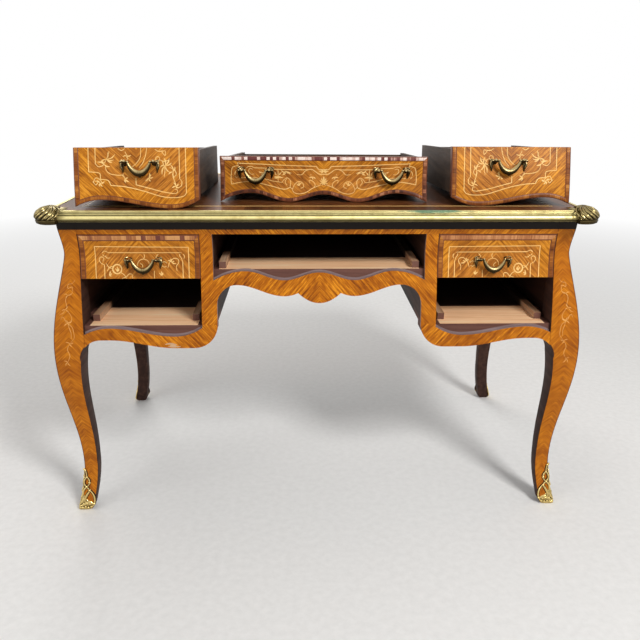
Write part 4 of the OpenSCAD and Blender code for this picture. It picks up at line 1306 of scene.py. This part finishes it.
centre_string = [
    (0, 30.3), (11.3, 30.3), (18, 23), (92, 21), (157.7, 18), (198.8, 16.7), (203.8, 15.6),
    (202, 22), (212, 24), (217.8, 29.5), (220.2, 51), (219.4, 65), (202, 61.5), (179, 59),
    (151, 63), (124.8, 68.9), (95.2, 76.2), (79.6, 72), (74, 78), (68, 84), (59, 87),
    (42.6, 83.6), (26.2, 73.8), (6.4, 67), (0, 67),
]
centre_strings = [
    centre_string[:3], centre_string[2:6], centre_string[7:12], centre_string[11:18],
    [(164.3, 27), (134.7, 28), (111.7, 30.3), (49.2, 31.1), (34.4, 30.3)],
    [(34.4, 30.3), (26, 31), (11.3, 41), (0, 41)],
]
centre_stems = [
    [(198.8, 16.7), (204, 15.6), (202, 22)],
    [(164.3, 27), (171, 24), (178, 24), (184, 28)],
    [(168, 30), (176, 29), (178, 36), (172, 42), (165, 41)],
    [(202, 50.8), (187, 50), (165, 50), (141, 52.5), (121.5, 57.4), (98.5, 60.7)],
    [(98.5, 60.7), (95.2, 55), (87, 50), (78.8, 57.4), (79.6, 71), (74, 76)],
    [(74, 76), (71, 68), (65, 61), (57.4, 58.2), (49.5, 63), (48, 71), (55, 74)],
    [(75.5, 75.4), (70.6, 83.6), (59, 86.9), (42.6, 83.6), (26.2, 73.8), (6.4, 65.6)],
    [(32.7, 62.3), (34.4, 55.7), (26.2, 57.4), (20.4, 65.6), (22.9, 72.1)],
    [(108.4, 29.5), (108.4, 59)], [(98.5, 45), (90.3, 35.2), (77.1, 39.3)],
    [(64, 41.8), (52.5, 42.6), (44.2, 34.4), (34.4, 30.3)],
    [(88, 52), (92, 60), (87, 67)], [(206, 32), (211, 40), (208, 50), (203, 47)],
]
centre_leaves = (
    spray(108, 50, [(-60, 16), (-120, 16), (-30, 14), (-150, 14), (0, 10), (180, 12)], 0.2)
    + spray(90, 38, [(160, 12), (-30, 13), (30, 10)])
    + spray(0, 60, [(-90, 15), (-60, 12), (-25, 11), (15, 10), (60, 8)], 0.15)
    + spray(0, 34, [(0, 12), (-35, 9), (35, 9)], 0.1)
    + spray(27, 48, [(-60, 8), (0, 8), (150, 9), (90, 6)])
    + spray(58, 68, [(-130, 9), (-90, 9), (-40, 8)])
    + spray(146, 38, [(-20, 9), (160, 9), (60, 8)])
)
marquetry(centre, centre_strings, centre_stems, centre_leaves, centre_string, 42)

knee_stems = [
    [(589, 119), (580, 109), (576, 99), (579, 91), (586, 87), (577, 78), (574, 65), (574, 52),
     (580, 44), (585, 38)],
    [(602, 95), (598, 102), (594, 99), (590, 90), (586, 87)],
    [(586, 87), (583, 74), (580, 63), (581, 50)],
    [(572, 156), (582, 151), (588, 141), (586, 126), (589, 119)],
    [(564, 186), (571, 178), (580, 176), (581, 167), (571, 170), (572, 156)],
    [(589, 119), (596, 110), (603, 108)],
    [(585, 38), (592, 24), (588, 8), (595, -8)],
]
knee_leaves = (
    spray(586, 87, [(150, 12), (60, 9), (-40, 11)])
    + spray(582, 151, [(150, 12), (20, 10), (-50, 8)])
    + spray(589, 119, [(120, 10), (-20, 9), (-150, 9)])
    + spray(585, 38, [(20, 10), (160, 9), (-120, 8)])
    + spray(595, -8, [(-60, 12), (-120, 12), (20, 9)])
)
for side_name, sign in HANDS:
    strokes = [([(sign * x, KNEE + z) for x, z in path], 1.1, 0.4) for path in knee_stems]
    strokes += [([(sign * x, KNEE + z) for x, z in path], 1.5, 0.15) for path in knee_leaves]
    inlay(f"knee_marquetry_{side_name}", "desk", front_face, strokes, faint_wood)


# The sides and the back, which no photograph shows, repeat the centre drawer's plants

STRING_NOTCH = 13
STRING_TOP = FRIEZE_TOP - 45
# Each panel: its middle, the string's half width and lowest points at its corner and middle, and
# the top and the share of size of its plants
SIDE_PANEL = (0, 236, 502, 484, 652, 1)
BACK_PANELS = (
    (0, 222, 624, 604, 700, 0.8),
    (-402, 120, 502, 502, 632, 0.47),
    (402, 120, 502, 502, 632, 0.47),
)


def panel_plants(middle_x, top, share):
    """The centre drawer's stems and leaves at a share of their size, about a panel's middle."""
    strokes = []
    for paths, width, tips in ((centre_stems, STEM, 0.7), (centre_leaves, LEAF, 0.15)):
        for path in paths:
            for sign in (-1, 1):
                points = [(middle_x + sign * share * x, top - share * z) for x, z in path]
                strokes.append((points, width, tips))
    return strokes


def panel_string(middle_x, half_width, low_side, low_middle):
    """A string inside a panel's edges, with notched corners and a waved lower line."""
    inner = half_width - STRING_NOTCH
    upper = STRING_TOP - STRING_NOTCH
    lower = low_side + STRING_NOTCH
    half = [
        [(0, STRING_TOP), (inner, STRING_TOP)],
        [(inner, STRING_TOP), (inner + 1, upper + 1), (half_width, upper)],
        [(half_width, upper), (half_width, lower)],
        [(half_width, lower), (inner + 1, lower - 1), (inner, low_side)],
        wave((inner, low_side), (0, low_middle)),
    ]
    strokes = []
    for path in half:
        for sign in (-1, 1):
            strokes.append(([(middle_x + sign * x, z) for x, z in path], STRING, 1))
    return strokes


def panel_marquetry(name, place, panels):
    strokes = []
    for middle_x, half_width, low_side, low_middle, top, share in panels:
        strokes += panel_string(middle_x, half_width, low_side, low_middle)
        strokes += panel_plants(middle_x, top, share)
    inlay(name, "desk", place, strokes, faint_wood)


for side_name, place in SIDE_FACES:
    panel_marquetry("side_marquetry_" + side_name, place, [SIDE_PANEL])
panel_marquetry("back_marquetry", back_face, BACK_PANELS)


# Pulls

def lathe(mesh, profile, matrix, sides=18):
    """Turns a profile of (radius, distance) about an axis; its ends lie on the axis."""
    rings = []
    for radius, distance in profile[1:-1]:
        ring = []
        for k in range(sides):
            a = 2 * math.pi * k / sides
            spot = Vector((radius * math.cos(a), -distance, radius * math.sin(a)))
            ring.append(mesh.verts.new(matrix @ spot))
        rings.append(ring)
    ends = [mesh.verts.new(matrix @ Vector((0, -d, 0))) for _, d in (profile[0], profile[-1])]
    skin(mesh, rings)
    for ring, end in zip((rings[0], rings[-1]), ends):
        fan(mesh, ring, end)


RELIEF_SEAT = 0.1
RELIEF_DOME = 0.6


def relief(mesh, outline, centre, height, matrix):
    """A cast ornament: its outline, a raised shoulder and a domed middle."""
    middle = Vector(centre)
    shares = ((1.0, RELIEF_SEAT), (1.0, height * 0.45), (0.82, height * 0.8), (0.45, height))
    rings = []
    for share, level in shares:
        ring = []
        for point in outline:
            spot = middle + (Vector(point) - middle) * share
            ring.append(mesh.verts.new(matrix @ Vector((spot.x, -level, spot.y))))
        rings.append(ring)
    skin(mesh, rings)
    top = mesh.verts.new(matrix @ Vector((middle.x, -(height + RELIEF_DOME), middle.y)))
    fan(mesh, rings[-1], top)
    mesh.faces.new(rings[0])


def lobed(points, lobes, depth):
    """Scallops the outline through some points: lobes along its whole length."""
    closed = [*points, points[0], points[1]]
    path = smooth_path(closed, 0.9)[:-1]
    middle = sum(path, Vector((0, 0))) / len(path)
    out = []
    for i in range(len(path)):
        share = 1 - depth * abs(math.sin(math.pi * lobes * i / len(path)))
        out.append(middle + (path[i] - middle) * share)
    return out


POST_PROFILE = [(0, -2), (3.6, -2), (3.6, 5.5), (4.6, 6.4), (3.2, 8.2), (2.7, 10.5),
                (3.4, 12.6), (4.6, 14.2), (4.9, 16.2), (5.1, 18), (4.7, 20.2), (3.6, 22),
                (2.4, 22.9), (2.0, 23.6), (1.2, 24.4), (0, 24.6)]
DROOP = [(-1, 7), (3.5, 6.5), (6.5, 3), (9.5, 0.5), (11, -5), (10, -11), (8, -17), (5.5, -21.5),
         (3.6, -17), (4.4, -11), (3, -6.5), (-2.5, -5.5), (-6.5, -2), (-6, 4)]
# The bail's crescent: how far it hangs, and how flat its arms leave the posts
CRESCENT_DROP = 25
CRESCENT_BEND = 1.5
# Half the bail's span, and how far from its middle its pins end
BAIL_HALF = 24.6
PIN_END = 39.4
# The bail's radius where it leaves the posts, and how much more it has in the middle
ARM_RADIUS = 2.4
BELLY = 4.8
BAIL_STEPS = 44
# The raised rings about the crescent, as (place along it, radius)
BAIL_RINGS = ((-6, 7.1), (-2.2, 8.0), (2.2, 8.0), (6, 7.1))
KNOB_DROP = CRESCENT_DROP + 7.1
SIDE_PULL_X = 405
CENTRE_PULL_X = 161


def pull(name, body, handle_body, matrix, x, z, lean):
    """Posts and bail of one pull, on a face of its drawer."""
    slope = face_slope(z)
    seat = (matrix @ Matrix.Translation((x, -HALF_DEPTH - swell(z), z))
            @ Matrix.Rotation(slope, 4, "X"))
    posts = bmesh.new()
    for side in (-1, 1):
        at = seat @ Matrix.Translation((side * POST_SPACING / 2, 0, 0))
        leafy = lobed([(side * a, b) for a, b in DROOP], 9, 0.13)
        relief(posts, leafy, (side * 3.5, 0), 3.2, at)
        swept(posts, [at @ Vector((side * a, -d, b)) for a, d, b in
                      ((1, 3, 3), (7, 5, 1), (9, 5.5, -7), (6.5, 4.5, -15), (5.2, 2.5, -20))],
              2.0, 2.3, 0.8, 8)
        swept(posts, [at @ Vector((side * a, -d, b)) for a, d, b in
                      ((4, 3, 6), (8.5, 5, 5.5), (10, 5, 1.5), (7, 5, -0.5), (6, 4.5, 2))],
              1.2, 1.6, 0.9, 8)
        lathe(posts, POST_PROFILE, at)
        shank = FRONT_THICKNESS * math.cos(slope) + 0.15
        lathe(posts, [(0, -shank - 5), (2, -shank - 5), (2, 0), (0, 0)], at, 12)
        lathe(posts, [(0, -shank - 3), (4, -shank - 3), (4, -shank), (0, -shank)], at, 6)
    add_piece(posts, name + "_castings", body, [handle_bronze], [name + "_posts"], 40)

    hang = seat @ Matrix.Translation((0, -HINGE_OUT, 0)) @ Matrix.Rotation(lean - slope, 4, "X")
    bail = bmesh.new()

    def on_bail(turn):
        hung = -CRESCENT_DROP * max(math.sin(turn), 0) ** CRESCENT_BEND
        return hang @ Vector((-BAIL_HALF * math.cos(turn), 0, hung))

    points, radii = [], []
    for i in range(BAIL_STEPS + 1):
        turn = math.pi * i / BAIL_STEPS
        points.append(on_bail(turn))
        radii.append(ARM_RADIUS + BELLY * max(math.sin(turn), 0) ** 1.3)
    tube(bail, points, radii, 16)
    for offset, radius in BAIL_RINGS:
        turn = math.pi / 2 + offset / BAIL_HALF
        middle = on_bail(turn)
        ahead = hang.to_3x3() @ Vector((1, 0, 0))
        ring = [middle - ahead * 0.9, middle - ahead * 0.3, middle + ahead * 0.3,
                middle + ahead * 0.9]
        tube(bail, ring, [radius - 0.9, radius, radius, radius - 0.9], 16)
    for share in (0.16, 0.84):
        ball(bail, on_bail(math.pi * share), (3.6, 3.6, 3.6))
    ball(bail, hang @ Vector((0, 0, -KNOB_DROP)), (2.8, 2.8, 2.2))
    for side in (-1, 1):
        inner = hang @ Vector((side * BAIL_HALF, 0, 0))
        outer = hang @ Vector((side * PIN_END, 0, 0))
        ball(bail, inner, (3.2, 3.2, 3.2))
        tube(bail, [inner, outer], [1.7, 1.7], 12)
        ball(bail, outer, (2.4, 2.4, 2.4))
    add_piece(bail, name + "_drop", handle_body, [handle_bronze], [name + "_bail"], 40)


def pull_of(drawer, x, z, name=None):
    name = name or drawer.name
    pull(name, drawer.body, name + "_handle", drawer.matrix, x, z, drawer.lean)


for one in upper_drawers:
    pull_of(one, one.side * SIDE_PULL_X, FRONT_TOP - 59)
for one in lower_drawers:
    pull_of(one, one.side * SIDE_PULL_X, LOWER_FRONT_TOP - 34)
for side_name, sign in HANDS:
    pull_of(centre, sign * CENTRE_PULL_X, FRONT_TOP - 31, "centre_" + side_name)


# Corner mounts: a rocaille shell that holds the edges' ends, leaves and scrolls

SHELL_RADIUS = CORNER / 2 + CORNER_PROUD - 0.4
SHELL_RIBS = 9
# How far the flutes turn about the shell on their way up, in radians a millimetre
SHELL_SWIRL = 0.028
# The shell's radius as a share of its widest, by height
SHELL_OUTLINE = [
    (-CORNER_LIP, 0.80), (-1, 0.90), (4, 0.94), (6, 0.93), (7, 0.88), (8.5, 0.96), (13, 1.0),
    (18, 0.97), (22, 0.90), (26, 0.79), (29, 0.67), (32, 0.49), (34, 0.32),
    (EDGE_HEIGHT + CORNER_RISE, 0.10),
]
PLAIN_BELOW = 7
SHELL_SIDES = 144
SHELL_LEVELS = [-3, -2, -1, 1, 4, 6, 6.6, 7.2, 8, 9, 11, 13, 15, 17, 19, 21, 23, 25, 27, 29, 30.5,
                32, 33, 34, 35, EDGE_HEIGHT + CORNER_RISE]


def lookup(stops, value):
    for (a, b), (c, d) in zip(stops, stops[1:]):
        if a <= value <= c:
            return b + (d - b) * (value - a) / (c - a)
    return stops[-1][1] if value > stops[-1][0] else stops[0][1]


def corner_shell(mesh):
    """A plain lip under a swirling fluted dome, about the corner's own upright axis."""
    rings = []
    for z in SHELL_LEVELS:
        ring = []
        for k in range(SHELL_SIDES):
            a = 2 * math.pi * k / SHELL_SIDES
            swirled = a - math.pi / 4 - SHELL_SWIRL * (z - PLAIN_BELOW)
            valley = 1 - abs(math.sin(SHELL_RIBS * swirled))
            rise = min(max((z - PLAIN_BELOW) / 3, 0), 1)
            radius = SHELL_RADIUS * lookup(SHELL_OUTLINE, z) * (1 - 0.11 * rise * valley ** 1.4)
            drop = 1.5 * valley if z > 20 else 0
            ring.append(mesh.verts.new((radius * math.cos(a), radius * math.sin(a), z - drop)))
        rings.append(ring)
    skin(mesh, rings)
    for ring in (rings[0], rings[-1]):
        mesh.faces.new(ring)


def slice_off(mesh, point, normal):
    """Cuts away what lies beyond a plane and closes the cut."""
    everything = mesh.verts[:] + mesh.edges[:] + mesh.faces[:]
    sliced = bmesh.ops.bisect_plane(mesh, geom=everything, dist=1e-4, plane_co=point,
                                    plane_no=normal, clear_outer=True)
    rim = [item for item in sliced["geom_cut"] if isinstance(item, bmesh.types.BMEdge)]
    bmesh.ops.holes_fill(mesh, edges=rim, sides=0)


def corner_leaves(mesh):
    """Three leaves that lie on the desktop, each of three blades."""
    for turn, length in ((-38, 34), (0, 40), (38, 34)):
        a = math.radians(225 + turn)
        direction = Vector((math.cos(a), math.sin(a), 0))
        side = Vector((-direction.y, direction.x, 0))
        base = Vector((0, 0, EDGE_HEIGHT + 1.4))
        for bend in (-1, 0, 1):
            reach = length * (0.98 - 0.16 * abs(bend))
            path = [base + direction * 4, base + direction * length * 0.5 + side * bend * 3.4,
                    base + direction * reach + side * bend * 7 - Vector((0, 0, 0.8))]
            swept(mesh, path, 3.8, 4.6 - abs(bend), 0.7, 10, 0.5)


def corner_scrolls(mesh):
    """A scroll on each flank, a smaller one above it, and ribs over the dome."""
    for along_x in (True, False):
        for centre_z, out, radius_start, thick in ((12, 22, 8, 2.4), (25.5, 12, 6, 2.0)):
            path = []
            for step in range(17):
                share = step / 16
                turn = math.radians(-70 + 400 * share)
                radius = radius_start * (1 - 0.72 * share)
                along = -13 + radius * math.cos(turn)
                if centre_z < 20:
                    spot = (along, out + 2 * share, centre_z + radius * math.sin(turn))
                else:
                    spot = (along, out + radius * math.sin(turn), centre_z + 2 * share)
                path.append(Vector(spot if along_x else (spot[1], spot[0], spot[2])))
            swept(mesh, path, thick * 0.8, thick, thick * 0.6, 8)
            ball(mesh, path[-1], (thick, thick, thick))
    for spread in (-65, -40, -15, 10, 35, 60, 85):
        path = []
        for z in (EDGE_HEIGHT + CORNER_RISE - 2.2, 31, 28, 24, 19, 14, 9.5):
            a = math.radians(45 + spread) + 1.4 * SHELL_SWIRL * (z - 20)
            radius = SHELL_RADIUS * lookup(SHELL_OUTLINE, z) - 1.6
            path.append(Vector((radius * math.cos(a), radius * math.sin(a), z - 0.4)))
        swept(mesh, path, 1.3, 2.0, 0.9, 8)
    for spread, height in ((-70, 33), (-35, 35), (0, 35.5), (35, 35), (70, 33)):
        a = math.radians(45 + spread)
        outward = Vector((math.cos(a), math.sin(a), 0))
        swept(mesh, [outward * 3 + Vector((0, 0, height - 8)),
                     outward * 9 + Vector((0, 0, height - 3.5)),
                     outward * 17 + Vector((0, 0, height - 3))], 3.2, 2.6, 0.6, 8, 0.6)


def corner_mount_piece(sign_x, sign_y):
    mesh = bmesh.new()
    corner_shell(mesh)
    for normal in ((-1, 0, 0), (0, -1, 0)):
        slice_off(mesh, [n * (CORNER / 2 - 0.1) for n in normal], normal)
    corner_leaves(mesh)
    corner_scrolls(mesh)
    for vertex in mesh.verts:
        x, y, z = vertex.co
        vertex.co = (sign_x * (TOP_HALF_WIDTH - CORNER / 2 + x),
                     sign_y * (TOP_HALF_DEPTH - CORNER / 2 + y), FRIEZE_TOP + z)
    return mesh


def joined(meshes):
    """One mesh of several, which are freed."""
    whole = bmesh.new()
    for mesh in meshes:
        passing = bpy.data.meshes.new("passing")
        mesh.to_mesh(passing)
        mesh.free()
        whole.from_mesh(passing)
        bpy.data.meshes.remove(passing)
    return whole


four_corners = [(-1, -1), (1, -1), (-1, 1), (1, 1)]
mounts = joined([corner_mount_piece(*corner) for corner in four_corners])
add_piece(mounts, "corner_castings", "desk", [cast_brass], ["corner_mounts"], 40)


# Sabots: a shell at the sole, under crossed scrolls that climb the foot's corner

SHOE_REACH = [(1, 23), (5, 29), (11, 33), (17, 34), (20, 29), (24, 18), (30, 11), (38, 6)]
SHOE_LOW = 1
SHOE_HIGH = 38
SHOE_ROWS = 30
SHOE_COLUMNS = 36


def sabot_shell(mesh):
    """The fluted shell at the sole, in outward coordinates from the leg's corner at the waist."""
    levels = [SHOE_LOW + (SHOE_HIGH - SHOE_LOW) * i / SHOE_ROWS for i in range(SHOE_ROWS + 1)]
    grids = []
    for outside in (True, False):
        grid = []
        for z in levels:
            row = []
            for k in range(SHOE_COLUMNS + 1):
                t = 2 * k / SHOE_COLUMNS - 1
                reach = lookup(SHOE_REACH, z) * (1 + 0.06 * math.sin(z * 0.9))
                run = abs(t) * reach
                from_eye = math.atan2(z - 10, run + 4)
                rib = abs(math.sin(from_eye * 5))
                edge = 1 - abs(t) ** 6
                thick = (1.0 + 2.2 * rib) * edge
                out = (0.6 + thick) if outside else -0.6
                corner = swell(z) + out - sole_inset(z)
                rounding = 0.8 * max(0, 1 - run / 5) ** 2
                near, far = corner - rounding, corner - run - rounding * 0.4
                spot = (near, far, z) if t < 0 else (far, near, z)
                row.append(mesh.verts.new(spot))
            grid.append(row)
        grids.append(grid)
    outer, inner = grids
    for a, b in zip(range(SHOE_ROWS), range(1, SHOE_ROWS + 1)):
        for k in range(SHOE_COLUMNS):
            mesh.faces.new((outer[a][k], outer[a][k + 1], outer[b][k + 1], outer[b][k]))
            mesh.faces.new((inner[a][k], inner[b][k], inner[b][k + 1], inner[a][k + 1]))
        for k in (0, SHOE_COLUMNS):
            mesh.faces.new((outer[a][k], outer[b][k], inner[b][k], inner[a][k]))
    for row in (0, SHOE_ROWS):
        for k in range(SHOE_COLUMNS):
            mesh.faces.new((outer[row][k], outer[row][k + 1], inner[row][k + 1], inner[row][k]))


def on_foot(run, z, out, along_x):
    """A point on the foot's face, so far in from its corner and out of its face."""
    inset = sole_inset(z)
    near, far = swell(z) + out - inset, swell(z) - run - inset
    return Vector((far, near, z)) if along_x else Vector((near, far, z))


# Strands as points of (run in from the corner, height), and their thickness along them
SABOT_STRANDS = [
    ([(2.5, 108), (5, 98), (6.5, 88)], (1.1, 1.5, 1.7)),
    ([(6.5, 88), (2, 82), (0.8, 74), (3, 67), (8, 61)], (1.6, 1.9, 1.7)),
    ([(6.5, 88), (11.5, 82), (14.5, 74), (12.5, 67), (8, 61)], (1.5, 1.9, 1.6)),
    ([(8, 61), (3.5, 56), (1, 49)], (1.8, 2.3, 2.4)),
    ([(8, 61), (12.5, 57), (17, 52)], (1.6, 1.7, 1.8)),
    ([(17, 52), (23.5, 46), (29.5, 38), (33.5, 28), (34, 18), (29, 8)], (1.7, 2.1, 2.3)),
    ([(17, 52), (13.5, 44), (10, 35), (9, 26), (12, 18)], (2.2, 2.8, 2.0)),
]
SABOT_BEADS = [
    (2.5, 108, 2.9), (6.5, 88, 3.0), (14.5, 73, 3.4), (8, 61.5, 2.6), (17, 52, 3.3),
    (34, 17, 3.1), (28, 10, 3.0), (21, 7.5, 3.2), (14, 9, 3.0), (16, 18, 2.8), (7, 18, 2.9),
    (6, 8, 3.1), (24, 16, 2.2),
]


def at_corner(mesh, sign_x, sign_y):
    for vertex in mesh.verts:
        x, y, z = vertex.co
        vertex.co = (sign_x * (HALF_WIDTH + x), sign_y * (HALF_DEPTH + y), max(z, 0.3))


def sabot_shadow(sign_x, sign_y):
    """Painted shadow on the wood along the strands, a little wider than they are."""
    mesh = bmesh.new()
    for along_x in (True, False):
        def place(run, depth, z):
            return on_foot(run, z, -depth, along_x)

        for points, (_, middle, _) in SABOT_STRANDS:
            ribbon(mesh, place, points, 2 * middle + 3.4, 0.9, 0.3, 0.6)
    at_corner(mesh, sign_x, sign_y)
    return mesh


def sabot_piece(sign_x, sign_y):
    mesh = bmesh.new()
    sabot_shell(mesh)
    for along_x in (True, False):
        for points, (start, middle, end) in SABOT_STRANDS:
            path = [on_foot(run, z, 1.6, along_x) for run, z in points]
            swept(mesh, path, start, middle, end, 8)
        for run, z, size in SABOT_BEADS:
            ball(mesh, on_foot(run, z, 1.8, along_x), (size, size, size))
    spine = [Vector((swell(z) - 1.0, swell(z) - 1.0, z)) for z in (13, 23, 33, 44, 56)]
    swept(mesh, spine, 2.0, 3.0, 2.0, 10)
    at_corner(mesh, sign_x, sign_y)
    return mesh


shoes = joined([sabot_piece(*corner) for corner in four_corners])
add_piece(shoes, "sabot_castings", "desk", [gilt], ["sabots"], 40)
# Painted shadow beside the sabots' strands
darkening = joined([sabot_shadow(*corner) for corner in four_corners])
add_piece(darkening, "sabot_shadow", "desk", [strand_shadow], sharp=30)


# The camera, as the photograph was taken: metres, degrees and millimetres of lens

CAMERA_PLACE = (-0.04605, -1.81924, 1.03301)
PITCH = 19.1208
YAW = -1.8115
ROLL = 0.2892
LENS = 37.63
camera_data = bpy.data.cameras.new("camera")
camera_data.lens = LENS
camera_data.sensor_width = 36
camera_data.shift_y = -1 / 640
camera = bpy.data.objects.new("camera", camera_data)
bpy.context.scene.collection.objects.link(camera)
camera.matrix_world = (
    Matrix.Translation(CAMERA_PLACE)
    @ Matrix.Rotation(math.radians(YAW), 4, "Z")
    @ Matrix.Rotation(math.radians(90 - PITCH), 4, "X")
    @ Matrix.Rotation(math.radians(ROLL), 4, "Z")
)
bpy.context.scene.camera = camera


# Floor and light

# Half the floor's width, and the distances between which it fades into the background, in metres
FLOOR_HALF = 12
FADE_START = 1.6
FADE_END = 4.5
WORLD_STRENGTH = 0.40
# The lamps: name, place and size in metres, and power in watts
LAMPS = (
    ("key", (1.7, -2.9, 3.1), 0.9, 118),
    ("fill", (-2.6, -2.2, 1.8), 2.0, 20),
    ("back", (-0.8, 2.6, 2.6), 1.8, 36),
)


def studio():
    scene = bpy.context.scene
    scene.view_settings.view_transform = "Standard"
    floor_mesh = bpy.data.meshes.new("floor")
    outline = rectangle(-FLOOR_HALF, FLOOR_HALF, -FLOOR_HALF, FLOOR_HALF)
    corners = [(x, y, 0) for x, y in outline]
    floor_mesh.from_pydata(corners, [], [(0, 1, 2, 3)])
    floor = bpy.data.objects.new("floor", floor_mesh)
    scene.collection.objects.link(floor)
    paint = Paint("floor")
    speckle = paint.noise(paint.place(), scale=60, detail=4)
    paint.set(Base_Color=paint.ramp(speckle, [(0.3, (0.78, 0.77, 0.75)), (0.7, (0.84, 0.83, 0.81))]))
    paint.set(Roughness=0.9)
    distance = paint.node("VectorMath", {0: paint.place()}, operation="LENGTH").outputs[1]
    rays = paint.node("LightPath").outputs
    seen = paint.math("MAXIMUM", rays["Is Camera Ray"], rays["Is Glossy Ray"])
    seen = paint.math("MAXIMUM", seen, rays["Is Transmission Ray"])
    fade = paint.math("MULTIPLY", paint.levels(distance, FADE_START, FADE_END), seen)
    white = paint.node("Emission", {"Color": (1, 1, 1, 1), "Strength": 1})
    blend = paint.node("MixShader", {0: fade})
    paint.tree.links.new(paint.shader.outputs[0], blend.inputs[1])
    paint.tree.links.new(white.outputs[0], blend.inputs[2])
    output = paint.tree.nodes["Material Output"]
    paint.tree.links.new(blend.outputs[0], output.inputs["Surface"])
    floor_mesh.materials.append(paint.material)

    world = bpy.data.worlds.new("studio")
    world.use_nodes = True
    scene.world = world
    nodes, links = world.node_tree.nodes, world.node_tree.links
    background = nodes["Background"]
    background.inputs["Color"].default_value = (1, 1, 1, 1)
    rays = nodes.new("ShaderNodeLightPath").outputs
    seen = rays["Is Camera Ray"]
    for kind in ("Is Glossy Ray", "Is Transmission Ray"):
        either = nodes.new("ShaderNodeMath")
        either.operation = "MAXIMUM"
        links.new(seen, either.inputs[0])
        links.new(rays[kind], either.inputs[1])
        seen = either.outputs[0]
    strength = nodes.new("ShaderNodeMapRange")
    links.new(seen, strength.inputs[0])
    strength.inputs[3].default_value = WORLD_STRENGTH
    strength.inputs[4].default_value = 1.0
    links.new(strength.outputs[0], background.inputs["Strength"])

    for name, place, size, power in LAMPS:
        lamp_data = bpy.data.lights.new(name, "AREA")
        lamp_data.size = size
        lamp_data.energy = power
        lamp = bpy.data.objects.new(name, lamp_data)
        lamp.location = place
        aim = Vector((0, 0, 0.6)) - Vector(place)
        lamp.rotation_euler = aim.to_track_quat("-Z", "Y").to_euler()
        scene.collection.objects.link(lamp)


studio()
